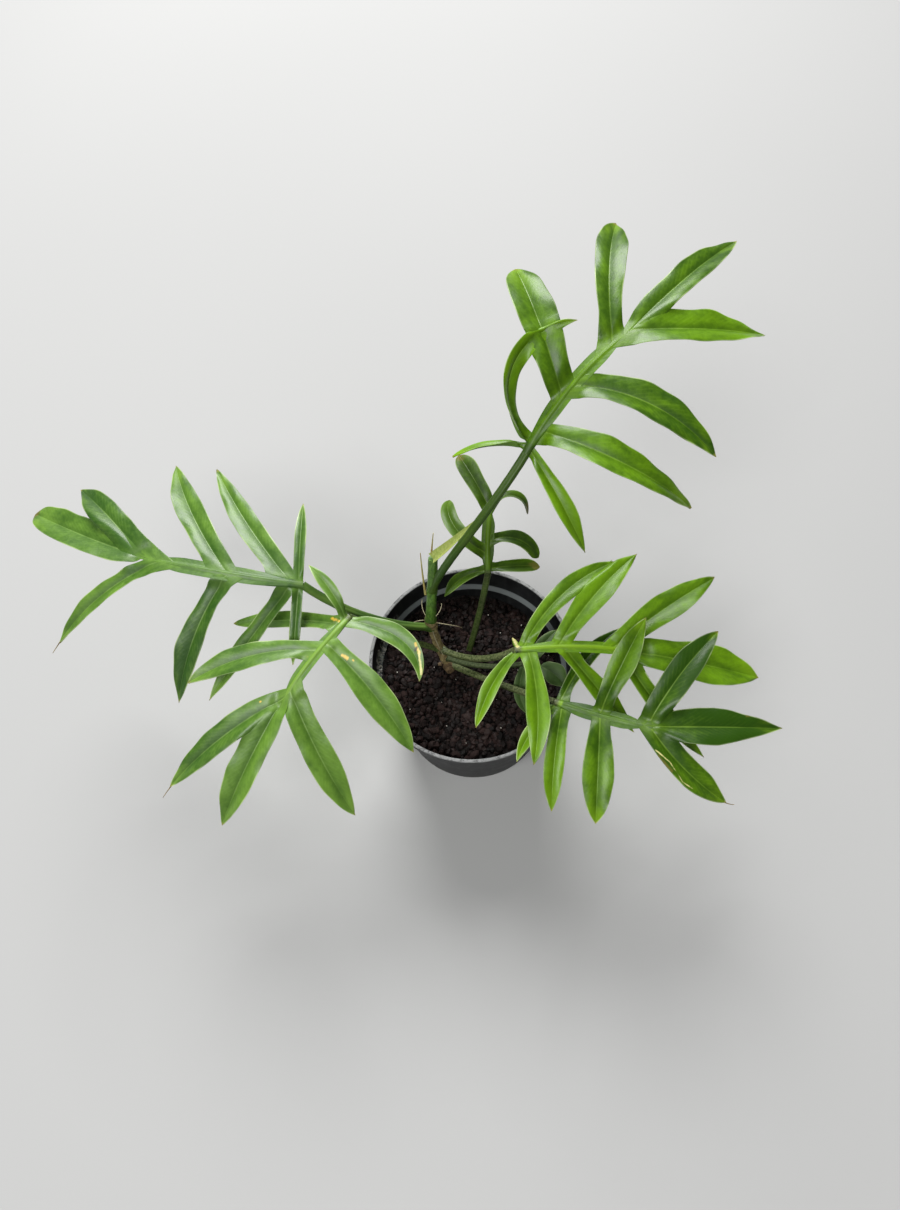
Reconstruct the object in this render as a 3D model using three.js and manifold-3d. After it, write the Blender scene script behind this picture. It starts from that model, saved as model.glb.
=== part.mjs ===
// A young philodendron xanadu in a thin-walled nursery pot, in millimetres.
// The origin is the middle of the pot's underside, +Z is up and -Y is the front.
import * as THREE from 'three';
import { mergeVertices } from 'three/addons/utils/BufferGeometryUtils.js';
import Module from 'manifold-3d';

const wasm = await Module();
wasm.setup();

// Pot: a 16 cm nursery pot with an offset collar that leaves a ledge inside.
const POT_HEIGHT = 134;
const RIM_RADIUS = 80;
const BASE_RADIUS = 65;
const POT_WALL = 1.5;
const COLLAR_HEIGHT = 24;
const COLLAR_TOP_RADIUS = 78.8;
const COLLAR_FOOT_RADIUS = 77.6;
const BODY_TOP_RADIUS = 74;
const LIP_HEIGHT = 2;
const BASE_CHAMFER = 3;
const POT_SIDES = 44;
const DRAIN_HOLES = 8;
const DRAIN_RADIUS = 4.5;
const DRAIN_CIRCLE_RADIUS = 47;

// Soil: coarse crumbs, a little higher at the front left than at the back right.
const SOIL_LEVEL = 105;
const SOIL_SLOPE_X = -0.07;
const SOIL_SLOPE_Y = -0.08;
const SOIL_CELLS = 24;
const CRUMB_HEIGHT = 1.6;

const GAP = 0.3;
const TUBE_SIDES = 8;
const TUBE_STEP = 13;

// Woody stem and green shoot. A run is an arc: it starts at its heading and rise in degrees,
// turns by its bend and comes down by its droop over its length.
const STEM_RADIUS = 3.6;
const STEM_SOIL_POINT = new THREE.Vector3(-19, 7, 106);
const STEM_RUN = { length: 50, heading: 141, rise: 69, bend: -35, droop: 13 };
const STEM_BURIED_RUN = { length: 26, heading: -37, rise: -67, bend: 0, droop: 20 };
const NODE_RADIUS = 4.9;
const SHOOT_RADIUS = 4.1;
const SHOOT_RUN = { length: 66, heading: 74, rise: 72, bend: 7, droop: 7 };
const SHEATH_RUN = { length: 52, heading: 13, rise: 46, bend: 10, droop: -5 };
const SHEATH_WIDTH = 9;
const SHEATH_THICKNESS = 2.4;

// Blades: thickness at the edge, and how far the midrib stands out below.
const BLADE_THICKNESS = 1;
const MIDRIB_DEPTH = 0.7;
const RACHIS_DEPTH = 2.4;
const BLADE_FOLD = 0.16;
const LOBE_STATIONS = 7;
const RACHIS_STATIONS = 6;
const TIP_WIDTH = 1;
const WEB_REACH = 7;
const WEB_BLEND = 0.22;
const NECK = 0.42;
const WIDEST_AT = 0.56;

// Each lobe grows from the rachis at a distance from the blade's base.
const LEAVES = {
  leaf_tall: {
    from: 'shoot', at: 36, radius: 2.8, wing: 11,
    petiole: { length: 136, heading: 12, rise: 75, bend: 42, droop: 49 },
    rachis: { length: 104, heading: 53, rise: 38, bend: -16, droop: 32 },
    lobes: [
      { at: 87, length: 103, heading: 96, rise: 23, bend: -22, droop: 42, width: 20, neck: 0.7 },
      { at: 102, length: 109, heading: 45, rise: 11, bend: 2, droop: 29, width: 18, neck: 0.8 },
      { at: 102, length: 98, heading: 0, rise: 2, bend: 18, droop: 32, width: 19, neck: 0.8 },
      { at: 41, length: 99, heading: 118, rise: 44, bend: -20, droop: 62, width: 21, tip: 0.8 },
      { at: 7, length: 105, heading: 165, rise: 52, bend: -185, droop: 42, width: 13, roll: 55 },
      { at: 4, length: 50, heading: 162, rise: 16, bend: 34, droop: 58, width: 10, roll: 45 },
      { at: 51, length: 102, heading: -8, rise: 6, bend: -33, droop: 36, width: 21, neck: 0.58 },
      { at: 18, length: 118, heading: -34, rise: 20, bend: 28, droop: 74, width: 21 },
      { at: 4, length: 76, heading: -60, rise: -4, bend: 10, droop: 47, width: 13 },
    ],
  },
  leaf_left: {
    from: 'stem', at: 45, radius: 2.4, wing: 8,
    petiole: { length: 109, heading: 194, rise: 30, bend: -40, droop: -5 },
    rachis: { length: 123, heading: 178, rise: 18, bend: -15, droop: 30 },
    lobes: [
      { at: 118, length: 123, heading: 161, rise: -9, bend: -9, droop: 8, width: 27, tip: 0.9 },
      { at: 121, length: 99, heading: 125, rise: 4, bend: 20, droop: 27, width: 23, neck: 0.6 },
      { at: 106, length: 110, heading: 194, rise: -15, bend: 28, droop: 18, width: 14 },
      { at: 54, length: 120, heading: 125, rise: 1, bend: -10, droop: 18, width: 20, neck: 0.6 },
      { at: 8, length: 124, heading: 129, rise: 5, bend: -9, droop: 16, width: 19 },
      { at: 3, length: 67, heading: 94, rise: 11, bend: 2, droop: 21, width: 10 },
      { at: 53, length: 110, heading: 212, rise: -24, bend: 56, droop: 18, width: 21 },
      { at: 7, length: 115, heading: 203, rise: -32, bend: 39, droop: -5, width: 14 },
      { at: 3, length: 59, heading: 264, rise: -24, bend: -2, droop: 12, width: 9 },
    ],
  },
  leaf_front_left: {
    from: 'stem', at: 20, radius: 2.4, wing: 8,
    petiole: { length: 94, heading: 186, rise: 47, bend: -10, droop: -4 },
    rachis: { length: 80, heading: 233, rise: 13, bend: -2, droop: 46 },
    lobes: [
      { at: 3, length: 49, heading: 117, rise: 44, bend: 20, droop: 45, width: 10 },
      { at: 8, length: 94, heading: 154, rise: -29, bend: 32, droop: -20, width: 15 },
      { at: 3, length: 74, heading: 0, rise: -4, bend: -78, droop: 22, width: 20 },
      { at: 26, length: 99, heading: -40, rise: -13, bend: -17, droop: 24, width: 25 },
      { at: 33, length: 102, heading: 173, rise: -1, bend: 36, droop: 18, width: 23 },
      { at: 70, length: 117, heading: 190, rise: -12, bend: 44, droop: 21, width: 24, neck: 0.6 },
      { at: 77, length: 107, heading: 230, rise: -18, bend: 14, droop: 22, width: 24, neck: 0.6 },
      { at: 67, length: 107, heading: 291, rise: -25, bend: 15, droop: 19, width: 23, neck: 0.6 },
    ],
  },
  leaf_small: {
    from: 'soil', foot: new THREE.Vector3(-6, 13, 90), radius: 2.5, wing: 7,
    petiole: { length: 105, heading: 57, rise: 63, bend: 12, droop: -6 },
    rachis: { length: 49, heading: 93, rise: 46, bend: -11, droop: 36 },
    lobes: [
      { at: 47, length: 52, heading: 120, rise: 24, bend: -1, droop: 38, width: 13, tip: 0.7 },
      { at: 46, length: 46, heading: 68, rise: 37, bend: -127, droop: 120, width: 8, roll: -40 },
      { at: 23, length: 46, heading: 40, rise: 5, bend: -95, droop: 52, width: 12, tip: 0.5 },
      { at: 3, length: 41, heading: 11, rise: 0, bend: -5, droop: 20, width: 10, tip: 0.5 },
      { at: 16, length: 64, heading: 167, rise: 34, bend: -90, droop: 68, width: 11, tip: 0.5 },
      { at: 2, length: 46, heading: 180, rise: -9, bend: 36, droop: 51, width: 8 },
    ],
  },
  leaf_right: {
    from: 'stem', at: 21, radius: 2.6, wing: 8,
    petiole: { length: 81, heading: -35, rise: 20, bend: 35, droop: -38 },
    rachis: { length: 94, heading: 5, rise: 8, bend: -11, droop: 22 },
    lobes: [
      { at: 2, length: 63, heading: 225, rise: -5, bend: 28, droop: 26, width: 12 },
      { at: 9, length: 84, heading: -75, rise: 2, bend: -26, droop: 26, width: 17 },
      { at: 5, length: 100, heading: 62, rise: 18, bend: -37, droop: 28, width: 16 },
      { at: 31, length: 93, heading: 64, rise: 14, bend: -30, droop: 15, width: 20 },
      { at: 70, length: 99, heading: 52, rise: 10, bend: -31, droop: 17, width: 20 },
      { at: 92, length: 96, heading: 2, rise: -7, bend: -17, droop: 18, width: 27, neck: 0.5 },
      { at: 34, length: 85, heading: -44, rise: -28, bend: -1, droop: -1, width: 15 },
      { at: 82, length: 100, heading: -39, rise: -26, bend: -13, droop: 0, width: 14 },
      { at: 3, length: 10, heading: 120, rise: 20, bend: 0, droop: 20, width: 4 },
    ],
  },
  leaf_front_right: {
    from: 'stem', at: 1, radius: 2.6, wing: 10,
    petiole: { length: 108, heading: -33, rise: 25, bend: 4, droop: -9 },
    rachis: { length: 71, heading: -23, rise: 12, bend: 7, droop: -2 },
    lobes: [
      { at: 3, length: 53, heading: 214, rise: -12, bend: 37, droop: 10, width: 10 },
      { at: 6, length: 77, heading: -101, rise: -3, bend: 10, droop: 29, width: 18 },
      { at: 34, length: 76, heading: -96, rise: 3, bend: 4, droop: 38, width: 23 },
      { at: 69, length: 77, heading: -53, rise: -11, bend: 26, droop: 20, width: 24, neck: 0.6 },
      { at: 69, length: 98, heading: 0, rise: 1, bend: 4, droop: 22, width: 28, neck: 0.5 },
      { at: 67, length: 82, heading: 59, rise: 27, bend: -16, droop: 27, width: 21, neck: 0.6 },
      { at: 33, length: 77, heading: 65, rise: 37, bend: -6, droop: 23, width: 22 },
      { at: 4, length: 80, heading: 67, rise: -9, bend: -30, droop: -5, width: 12 },
    ],
  },
  leaf_old: {
    from: 'stem', at: 10, radius: 2.1, wing: 6,
    petiole: { length: 71, heading: -31, rise: 24, bend: 32, droop: -2 },
    rachis: { length: 14, heading: -2, rise: 10, bend: -10, droop: 20 },
    lobes: [
      { at: 12, length: 26, heading: -24, rise: 4, bend: -28, droop: 25, width: 17, neck: 0.6 },
      { at: 3, length: 42, heading: 232, rise: -38, bend: 77, droop: -6, width: 10 },
      { at: 6, length: 36, heading: 62, rise: 6, bend: -17, droop: 20, width: 11 },
    ],
  },
};

const FINISHES = {
  pot: { color: 0x2b2d2e, roughness: 0.5 },
  soil: { color: 0x2a1d18, roughness: 0.95 },
  stem: { color: 0x7d6a44, roughness: 0.75 },
  shoot: { color: 0x4c8a1c, roughness: 0.45 },
  sheath: { color: 0xa9b552, roughness: 0.6 },
  leaf: { color: 0x4f9a25, roughness: 0.35 },
  leaf_dull: { color: 0x5c7a48, roughness: 0.6 },
};

const UP = new THREE.Vector3(0, 0, 1);

function direction(headingDegrees, riseDegrees) {
  const heading = THREE.MathUtils.degToRad(headingDegrees);
  const rise = THREE.MathUtils.degToRad(riseDegrees);
  const level = Math.cos(rise);
  return new THREE.Vector3(level * Math.cos(heading), level * Math.sin(heading), Math.sin(rise));
}

// Walks along a run and returns its stations, each with its point, direction and share t.
function walk(start, run, steps) {
  const stations = [];
  const point = start.clone();
  for (let i = 0; i <= steps; i += 1) {
    const t = i / steps;
    stations.push({
      t,
      point: point.clone(),
      direction: direction(run.heading + run.bend * t, run.rise - run.droop * t),
    });
    const middle = t + 0.5 / steps;
    const stride = direction(run.heading + run.bend * middle, run.rise - run.droop * middle);
    point.addScaledVector(stride, run.length / steps);
  }
  return stations;
}

function pointAlong(start, run, distance) {
  const fineSteps = 48;
  const stations = walk(start, run, fineSteps);
  const place = THREE.MathUtils.clamp((distance / run.length) * fineSteps, 0, fineSteps);
  const before = Math.min(Math.floor(place), fineSteps - 1);
  return stations[before].point.clone().lerp(stations[before + 1].point, place - before);
}

function solidOf(geometry) {
  const bare = geometry.clone();
  bare.deleteAttribute('normal');
  bare.deleteAttribute('uv');
  const merged = mergeVertices(bare, 1e-4);
  const vertProperties = new Float32Array(merged.attributes.position.array);
  const triVerts = new Uint32Array(merged.index.array);
  return new wasm.Manifold(new wasm.Mesh({ numProp: 3, vertProperties, triVerts }));
}

function geometryOf(solid) {
  const mesh = solid.getMesh();
  const geometry = new THREE.BufferGeometry();
  geometry.setAttribute('position', new THREE.BufferAttribute(mesh.vertProperties, 3));
  geometry.setIndex(new THREE.BufferAttribute(mesh.triVerts, 1));
  geometry.computeVertexNormals();
  return geometry;
}

// Keeps the outer body of a join: a small hollow that joining sealed is filled.
function wholeBody(solid) {
  const bodies = solid.decompose();
  return bodies.reduce((best, body) => (body.volume() > best.volume() ? body : best));
}

// A round tube along a run. Growth widens it and lengthens both ends, for the hole round it.
function tube(start, run, radius, growth = 0) {
  const steps = Math.max(3, Math.round(run.length / TUBE_STEP));
  const foot = start.clone().addScaledVector(direction(run.heading, run.rise), -growth);
  const grownRun = { ...run, length: run.length + growth * 2 };
  const path = new THREE.CatmullRomCurve3(walk(foot, grownRun, steps).map((s) => s.point));
  const section = new THREE.Shape();
  section.absarc(0, 0, radius + growth, 0, Math.PI * 2, false);
  return solidOf(new THREE.ExtrudeGeometry(section, {
    steps,
    curveSegments: TUBE_SIDES / 2,
    extrudePath: path,
    bevelEnabled: false,
  }));
}

// Joins sections into one thin body. Each has its top and bottom points from left to right,
// and both faces are split along the same diagonals.
function sheet(sections) {
  const across = sections[0].top.length;
  const positions = [];
  for (const section of sections) {
    for (const point of [...section.top, ...section.bottom]) {
      positions.push(point.x, point.y, point.z);
    }
  }
  const top = (i, j) => i * across * 2 + j;
  const bottom = (i, j) => top(i, j) + across;
  const index = [];
  const last = sections.length - 1;
  for (let i = 0; i < last; i += 1) {
    for (let j = 0; j < across - 1; j += 1) {
      index.push(top(i, j), top(i, j + 1), top(i + 1, j + 1));
      index.push(top(i, j), top(i + 1, j + 1), top(i + 1, j));
      index.push(bottom(i, j), bottom(i + 1, j + 1), bottom(i, j + 1));
      index.push(bottom(i, j), bottom(i + 1, j), bottom(i + 1, j + 1));
    }
    const right = across - 1;
    index.push(top(i, 0), top(i + 1, 0), bottom(i + 1, 0));
    index.push(top(i, 0), bottom(i + 1, 0), bottom(i, 0));
    index.push(top(i + 1, right), top(i, right), bottom(i, right));
    index.push(top(i + 1, right), bottom(i, right), bottom(i + 1, right));
  }
  for (let j = 0; j < across - 1; j += 1) {
    index.push(top(0, j + 1), top(0, j), bottom(0, j));
    index.push(top(0, j + 1), bottom(0, j), bottom(0, j + 1));
    index.push(top(last, j), top(last, j + 1), bottom(last, j + 1));
    index.push(top(last, j), bottom(last, j + 1), bottom(last, j));
  }
  const geometry = new THREE.BufferGeometry();
  geometry.setAttribute('position', new THREE.Float32BufferAttribute(positions, 3));
  geometry.setIndex(index);
  return solidOf(geometry);
}

// The vectors to the right of a station and out of its upper face.
function axesAt(station, rollDegrees) {
  const right = new THREE.Vector3().crossVectors(station.direction, UP).normalize();
  right.applyAxisAngle(station.direction, THREE.MathUtils.degToRad(rollDegrees));
  const out = new THREE.Vector3().crossVectors(right, station.direction).normalize();
  return { right, out };
}

function section(left, middle, right, out, rib) {
  const half = BLADE_THICKNESS / 2;
  return {
    top: [left, middle, right].map((p) => p.clone().addScaledVector(out, half)),
    bottom: [
      left.clone().addScaledVector(out, -half),
      middle.clone().addScaledVector(out, -half - rib),
      right.clone().addScaledVector(out, -half),
    ],
  };
}

// A lobe's width at share t of its length: a neck, a wide middle and a drawn-out or blunt tip.
function lobeWidth(lobe, t) {
  const widest = lobe.widest ?? WIDEST_AT;
  const neck = lobe.neck ?? NECK;
  if (t < widest) {
    const swell = THREE.MathUtils.smoothstep(t, 0, widest);
    return lobe.width * (neck + (1 - neck) * swell);
  }
  const s = (t - widest) / (1 - widest);
  const blunt = lobe.tip ?? 0;
  const taper = (1 - s ** THREE.MathUtils.lerp(1.7, 4, blunt)) ** THREE.MathUtils.lerp(0.85, 0.5, blunt);
  return Math.max(TIP_WIDTH, lobe.width * taper);
}

// The lobe starts as a web along the rachis and turns out into a free blade.
function lobeSolid(rachisStart, rachis, lobe) {
  const root = pointAlong(rachisStart, rachis, lobe.at);
  const reach = Math.min(WEB_REACH, lobe.width / 2);
  const back = pointAlong(rachisStart, rachis, lobe.at - Math.min(reach, lobe.at));
  const fore = pointAlong(rachisStart, rachis, lobe.at + reach);
  const along = fore.clone().sub(back);
  const sections = walk(root, lobe, LOBE_STATIONS).map((station) => {
    const { right, out } = axesAt(station, lobe.roll ?? 0);
    const halfWidth = lobeWidth(lobe, station.t) / 2;
    const fold = halfWidth * BLADE_FOLD;
    const edge = (sign) => station.point.clone()
      .addScaledVector(right, sign * halfWidth)
      .addScaledVector(out, fold);
    const web = 1 - THREE.MathUtils.smoothstep(station.t, 0, WEB_BLEND);
    const foreIsRight = along.dot(right) > 0;
    const leftEdge = edge(-1).lerp(foreIsRight ? back : fore, web);
    const rightEdge = edge(1).lerp(foreIsRight ? fore : back, web);
    const rib = MIDRIB_DEPTH * (1 - station.t);
    return section(leftEdge, station.point, rightEdge, out, rib);
  });
  return sheet(sections);
}

function rachisSolid(start, rachis, wing, petioleRadius) {
  const sections = walk(start, rachis, RACHIS_STATIONS).map((station) => {
    const { right, out } = axesAt(station, 0);
    const spread = THREE.MathUtils.smoothstep(station.t, 0, 0.35);
    const halfWidth = THREE.MathUtils.lerp(petioleRadius, wing / 2, spread);
    const left = station.point.clone().addScaledVector(right, -halfWidth);
    const rightEdge = station.point.clone().addScaledVector(right, halfWidth);
    const rib = THREE.MathUtils.lerp(RACHIS_DEPTH, MIDRIB_DEPTH, station.t);
    return section(left, station.point, rightEdge, out, rib);
  });
  return sheet(sections);
}

const stemNode = pointAlong(STEM_SOIL_POINT, STEM_RUN, STEM_RUN.length);

function leafFoot(leaf) {
  if (leaf.from === 'soil') return leaf.foot;
  if (leaf.from === 'shoot') return pointAlong(stemNode, SHOOT_RUN, leaf.at);
  return pointAlong(STEM_SOIL_POINT, STEM_RUN, leaf.at);
}

function stemSolid(growth) {
  const above = tube(STEM_SOIL_POINT, STEM_RUN, STEM_RADIUS, growth);
  const buried = tube(STEM_SOIL_POINT, STEM_BURIED_RUN, STEM_RADIUS, growth);
  const knob = new THREE.IcosahedronGeometry(STEM_RADIUS + growth + 0.4, 1);
  const foot = solidOf(knob.translate(...STEM_SOIL_POINT.toArray()));
  const collar = new THREE.IcosahedronGeometry(NODE_RADIUS + growth, 1);
  const node = solidOf(collar.translate(...stemNode.toArray()));
  return above.add(buried).add(foot).add(node);
}

function shootSolid(growth) {
  return tube(stemNode, SHOOT_RUN, SHOOT_RADIUS, growth);
}

// The dry sheath leans off the top of the shoot as a narrow folded blade.
function sheathSolid() {
  const top = pointAlong(stemNode, SHOOT_RUN, SHOOT_RUN.length);
  const lift = SHOOT_RADIUS * 0.2;
  const start = top.clone().addScaledVector(UP, lift);
  const steps = 6;
  const sections = walk(start, SHEATH_RUN, steps).map((station) => {
    const { right, out } = axesAt(station, 20);
    const half = Math.max(TIP_WIDTH, SHEATH_WIDTH * (1 - station.t ** 1.5)) / 2;
    const left = station.point.clone().addScaledVector(right, -half).addScaledVector(out, half * 0.6);
    const rightEdge = station.point.clone().addScaledVector(right, half).addScaledVector(out, half * 0.6);
    return section(left, station.point, rightEdge, out, SHEATH_THICKNESS * (1 - station.t) * 0.4);
  });
  return sheet(sections);
}

function leafSolid(leaf) {
  const foot = leafFoot(leaf);
  let solid = tube(foot, leaf.petiole, leaf.radius);
  const base = pointAlong(foot, leaf.petiole, leaf.petiole.length);
  solid = solid.add(rachisSolid(base, leaf.rachis, leaf.wing, leaf.radius));
  for (const lobe of leaf.lobes) solid = solid.add(lobeSolid(base, leaf.rachis, lobe));
  return wholeBody(solid);
}

function lathe(profile) {
  const points = profile.map(([radius, height]) => new THREE.Vector2(radius, height));
  const geometry = new THREE.LatheGeometry(points, POT_SIDES);
  return solidOf(geometry.rotateX(Math.PI / 2));
}

const ledgeHeight = POT_HEIGHT - COLLAR_HEIGHT;

// The inside of the pot from the middle of its floor out and up to the rim.
function innerProfile(clearance) {
  return [
    [0, POT_WALL + clearance],
    [BASE_RADIUS - POT_WALL - clearance, POT_WALL + clearance],
    [BODY_TOP_RADIUS - POT_WALL - clearance, ledgeHeight + clearance],
    [COLLAR_FOOT_RADIUS - POT_WALL - clearance, ledgeHeight + POT_WALL * 0.6 + clearance],
    [COLLAR_TOP_RADIUS - POT_WALL - clearance, POT_HEIGHT],
  ];
}

function potSolid() {
  const outer = [
    [RIM_RADIUS - 0.6, POT_HEIGHT],
    [RIM_RADIUS, POT_HEIGHT - 0.6],
    [RIM_RADIUS, POT_HEIGHT - LIP_HEIGHT],
    [COLLAR_TOP_RADIUS, POT_HEIGHT - LIP_HEIGHT - 0.6],
    [COLLAR_FOOT_RADIUS, ledgeHeight + 1],
    [COLLAR_FOOT_RADIUS - 1, ledgeHeight - 0.6],
    [BODY_TOP_RADIUS, ledgeHeight - 1.6],
    [BASE_RADIUS, BASE_CHAMFER],
    [BASE_RADIUS - BASE_CHAMFER, 0],
    [0, 0],
  ];
  let pot = lathe([...innerProfile(0), ...outer].reverse());
  for (let i = 0; i < DRAIN_HOLES; i += 1) {
    const angle = ((i + 0.5) * Math.PI * 2) / DRAIN_HOLES;
    const hole = new THREE.CylinderGeometry(DRAIN_RADIUS, DRAIN_RADIUS, POT_WALL * 4, 12);
    hole.rotateX(Math.PI / 2);
    hole.translate(DRAIN_CIRCLE_RADIUS * Math.cos(angle), DRAIN_CIRCLE_RADIUS * Math.sin(angle), 0);
    pot = pot.subtract(solidOf(hole));
  }
  return pot;
}

// A repeatable number from 0 to 1 for a cell of the soil.
function scatter(column, row) {
  const wave = Math.sin(column * 127.1 + row * 311.7) * 43758.5453;
  return wave - Math.floor(wave);
}

function soilSolid(stems) {
  const side = RIM_RADIUS * 2.1;
  const block = new THREE.BoxGeometry(side, side, POT_HEIGHT, SOIL_CELLS, SOIL_CELLS, 1);
  const position = block.attributes.position;
  for (let i = 0; i < position.count; i += 1) {
    if (position.getZ(i) < 0) {
      position.setZ(i, -1);
    } else {
      const x = position.getX(i);
      const y = position.getY(i);
      const column = Math.round((x / side) * SOIL_CELLS);
      const row = Math.round((y / side) * SOIL_CELLS);
      const crumb = (scatter(column, row) - 0.5) * 2 * CRUMB_HEIGHT;
      position.setZ(i, SOIL_LEVEL + SOIL_SLOPE_X * x + SOIL_SLOPE_Y * y + crumb);
    }
  }
  const top = COLLAR_TOP_RADIUS - POT_WALL - GAP;
  const filling = lathe([[0, POT_HEIGHT], [top, POT_HEIGHT], ...innerProfile(GAP).reverse().slice(1)]
    .reverse());
  let soil = filling.intersect(solidOf(block));
  for (const stem of stems) soil = soil.subtract(stem);
  return wholeBody(soil);
}

function mesh(name, solid, finish) {
  const material = new THREE.MeshStandardMaterial({ metalness: 0, side: THREE.FrontSide, ...finish });
  const body = new THREE.Mesh(geometryOf(solid), material);
  body.name = name;
  return body;
}

const plant = new THREE.Group();
const stemWithGap = stemSolid(GAP);
const shootWithGap = shootSolid(GAP);
const holes = [stemWithGap];

for (const [name, leaf] of Object.entries(LEAVES)) {
  const carrier = leaf.from === 'shoot' ? shootWithGap : stemWithGap;
  const finish = name === 'leaf_old' ? FINISHES.leaf_dull : FINISHES.leaf;
  plant.add(mesh(name, wholeBody(leafSolid(leaf).subtract(carrier)), finish));
  holes.push(tube(leafFoot(leaf), leaf.petiole, leaf.radius, GAP));
}
plant.add(mesh('stem', stemSolid(0), FINISHES.stem));
plant.add(mesh('shoot', shootSolid(0).subtract(stemWithGap), FINISHES.shoot));
plant.add(mesh('sheath', wholeBody(sheathSolid().subtract(shootWithGap)), FINISHES.sheath));

const pottedPlant = new THREE.Group();
pottedPlant.add(mesh('pot', potSolid(), FINISHES.pot));
pottedPlant.add(mesh('soil', soilSolid(holes), FINISHES.soil));
pottedPlant.add(plant);

export default pottedPlant;
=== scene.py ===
"""A young philodendron xanadu in a nursery pot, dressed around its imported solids.

Lengths are in millimetres and angles in degrees, as the plant was measured; the meshes are made
in metres. +Z is up and -Y is the front. The origin is the middle of the pot's underside.
"""

import logging
import math
from dataclasses import dataclass, replace
from enum import Enum
from typing import Any

import bpy
import numpy as np
from mathutils import Euler, Matrix


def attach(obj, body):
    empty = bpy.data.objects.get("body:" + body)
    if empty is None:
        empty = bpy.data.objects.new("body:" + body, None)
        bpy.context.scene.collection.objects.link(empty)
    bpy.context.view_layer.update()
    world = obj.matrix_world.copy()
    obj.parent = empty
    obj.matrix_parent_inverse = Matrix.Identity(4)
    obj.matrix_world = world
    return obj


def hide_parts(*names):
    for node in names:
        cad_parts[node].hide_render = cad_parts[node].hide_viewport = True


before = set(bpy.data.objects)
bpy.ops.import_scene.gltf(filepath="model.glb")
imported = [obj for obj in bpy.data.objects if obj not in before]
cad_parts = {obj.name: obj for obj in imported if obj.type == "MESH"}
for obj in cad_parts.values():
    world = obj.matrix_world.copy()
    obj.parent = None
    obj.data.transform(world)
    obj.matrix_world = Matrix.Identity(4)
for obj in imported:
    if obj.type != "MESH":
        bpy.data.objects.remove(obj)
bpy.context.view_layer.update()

LOG = logging.getLogger("xanadu")
MM = 0.001
UP = np.array((0.0, 0.0, 1.0))
BODY = "root"
TURN = 2.0 * math.pi
TINY = 1e-9
# A run is followed in this many steps, and skins without a free edge count as this far from one.
PATH_STEPS = 240
WELL_INSIDE = 9.0
Colour = tuple[float, float, float, float]


class Carrier(Enum):
    """What a leaf grows from."""

    STEM = "stem"
    SHOOT = "shoot"
    SOIL = "soil"


class Grade(Enum):
    """The finish of a leaf, by its age and its light."""

    FRESH = "fresh"
    WAXY = "waxy"
    DEEP = "deep"
    DULL = "dull"


class Stain(Enum):
    """The colour of a blemish on a blade, or the painted shade that stands for a hole torn in it."""

    YELLOW = (228, 190, 66)
    BROWN = (98, 96, 38)
    CREAM = (222, 214, 142)
    # painted shade: a near-black mark that stands for a torn hole, where shade under the leaf shows through
    TORN_HOLE_SHADE = (20, 18, 6)


class Part(Enum):
    """The regions of a leaf that its finish tells apart."""

    LOBE = 0.0
    RACHIS = 0.5
    PETIOLE = 1.0


def smooth(values: np.ndarray, low: float, high: float) -> np.ndarray:
    """Eases values from 0 at the low limit to 1 at the high one."""
    t = np.clip((np.asarray(values, float) - low) / (high - low), 0.0, 1.0)
    return t * t * (3.0 - 2.0 * t)


def unit(vectors: np.ndarray) -> np.ndarray:
    """Scales each vector along the last axis to a length of 1."""
    lengths = np.linalg.norm(vectors, axis=-1, keepdims=True)
    return vectors / np.maximum(lengths, TINY)


def tint(*screen: int) -> Colour:
    """Turns a screen colour into the linear colour that a shader takes.

    Args:
        *screen: Red, green and blue from 0 to 255.

    Returns:
        Linear red, green and blue, and full alpha.
    """
    shares = [channel / 255.0 for channel in screen]
    linear = [c / 12.92 if c <= 0.04045 else ((c + 0.055) / 1.055) ** 2.4 for c in shares]
    return (linear[0], linear[1], linear[2], 1.0)


def traits(blade: tuple[Any, ...], growth: tuple[Any, ...], side: Any) -> dict[str, np.ndarray]:
    """Spreads what the finishes read over a skin's grid.

    Args:
        blade: The distances across and along the blade and from its margin.
        growth: The share of the length, the tone and the region.
        side: 1 on an upper face and 0 on an under face.

    Returns:
        The vector attributes, by name.
    """
    fields = np.broadcast_arrays(*blade, *growth, side, side, side)
    return {name: np.stack(fields[i : i + 3], -1) for name, i in (("blade", 0), ("growth", 3), ("skin", 6))}


@dataclass(frozen=True)
class Run:
    """An arc that starts at its heading and rise, turns by its bend and sinks by its droop.

    Late brings most of both near the arc's end when it is above 1, and near its start below 1.
    """

    length: float
    heading: float
    rise: float
    bend: float = 0.0
    droop: float = 0.0
    late: float = 1.0

    def directions(self, shares: np.ndarray) -> np.ndarray:
        """Gives the direction of growth along the run.

        Args:
            shares: Shares of the length, from 0 to 1.

        Returns:
            One unit vector for each share.
        """
        turned = np.asarray(shares, float) ** self.late
        heading = np.radians(self.heading + self.bend * turned)
        rise = np.radians(self.rise - self.droop * turned)
        level = np.cos(rise)
        return np.column_stack((level * np.cos(heading), level * np.sin(heading), np.sin(rise)))

    def points(self, start: np.ndarray, shares: np.ndarray) -> np.ndarray:
        """Gives points along the run.

        Args:
            start: The point that the run starts from.
            shares: Shares of the length, from 0 to 1.

        Returns:
            One point for each share.
        """
        middles = (np.arange(PATH_STEPS) + 0.5) / PATH_STEPS
        strides = self.directions(middles) * self.length / PATH_STEPS
        path = np.vstack((start, start + np.cumsum(strides, axis=0)))
        places = np.linspace(0.0, 1.0, PATH_STEPS + 1)
        shares = np.clip(shares, 0.0, 1.0)
        return np.column_stack([np.interp(shares, places, path[:, axis]) for axis in range(3)])

    def point(self, start: np.ndarray, distance: float) -> np.ndarray:
        """Gives the point at a distance along the run from its start."""
        return self.points(start, np.array([distance / self.length]))[0]


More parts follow.
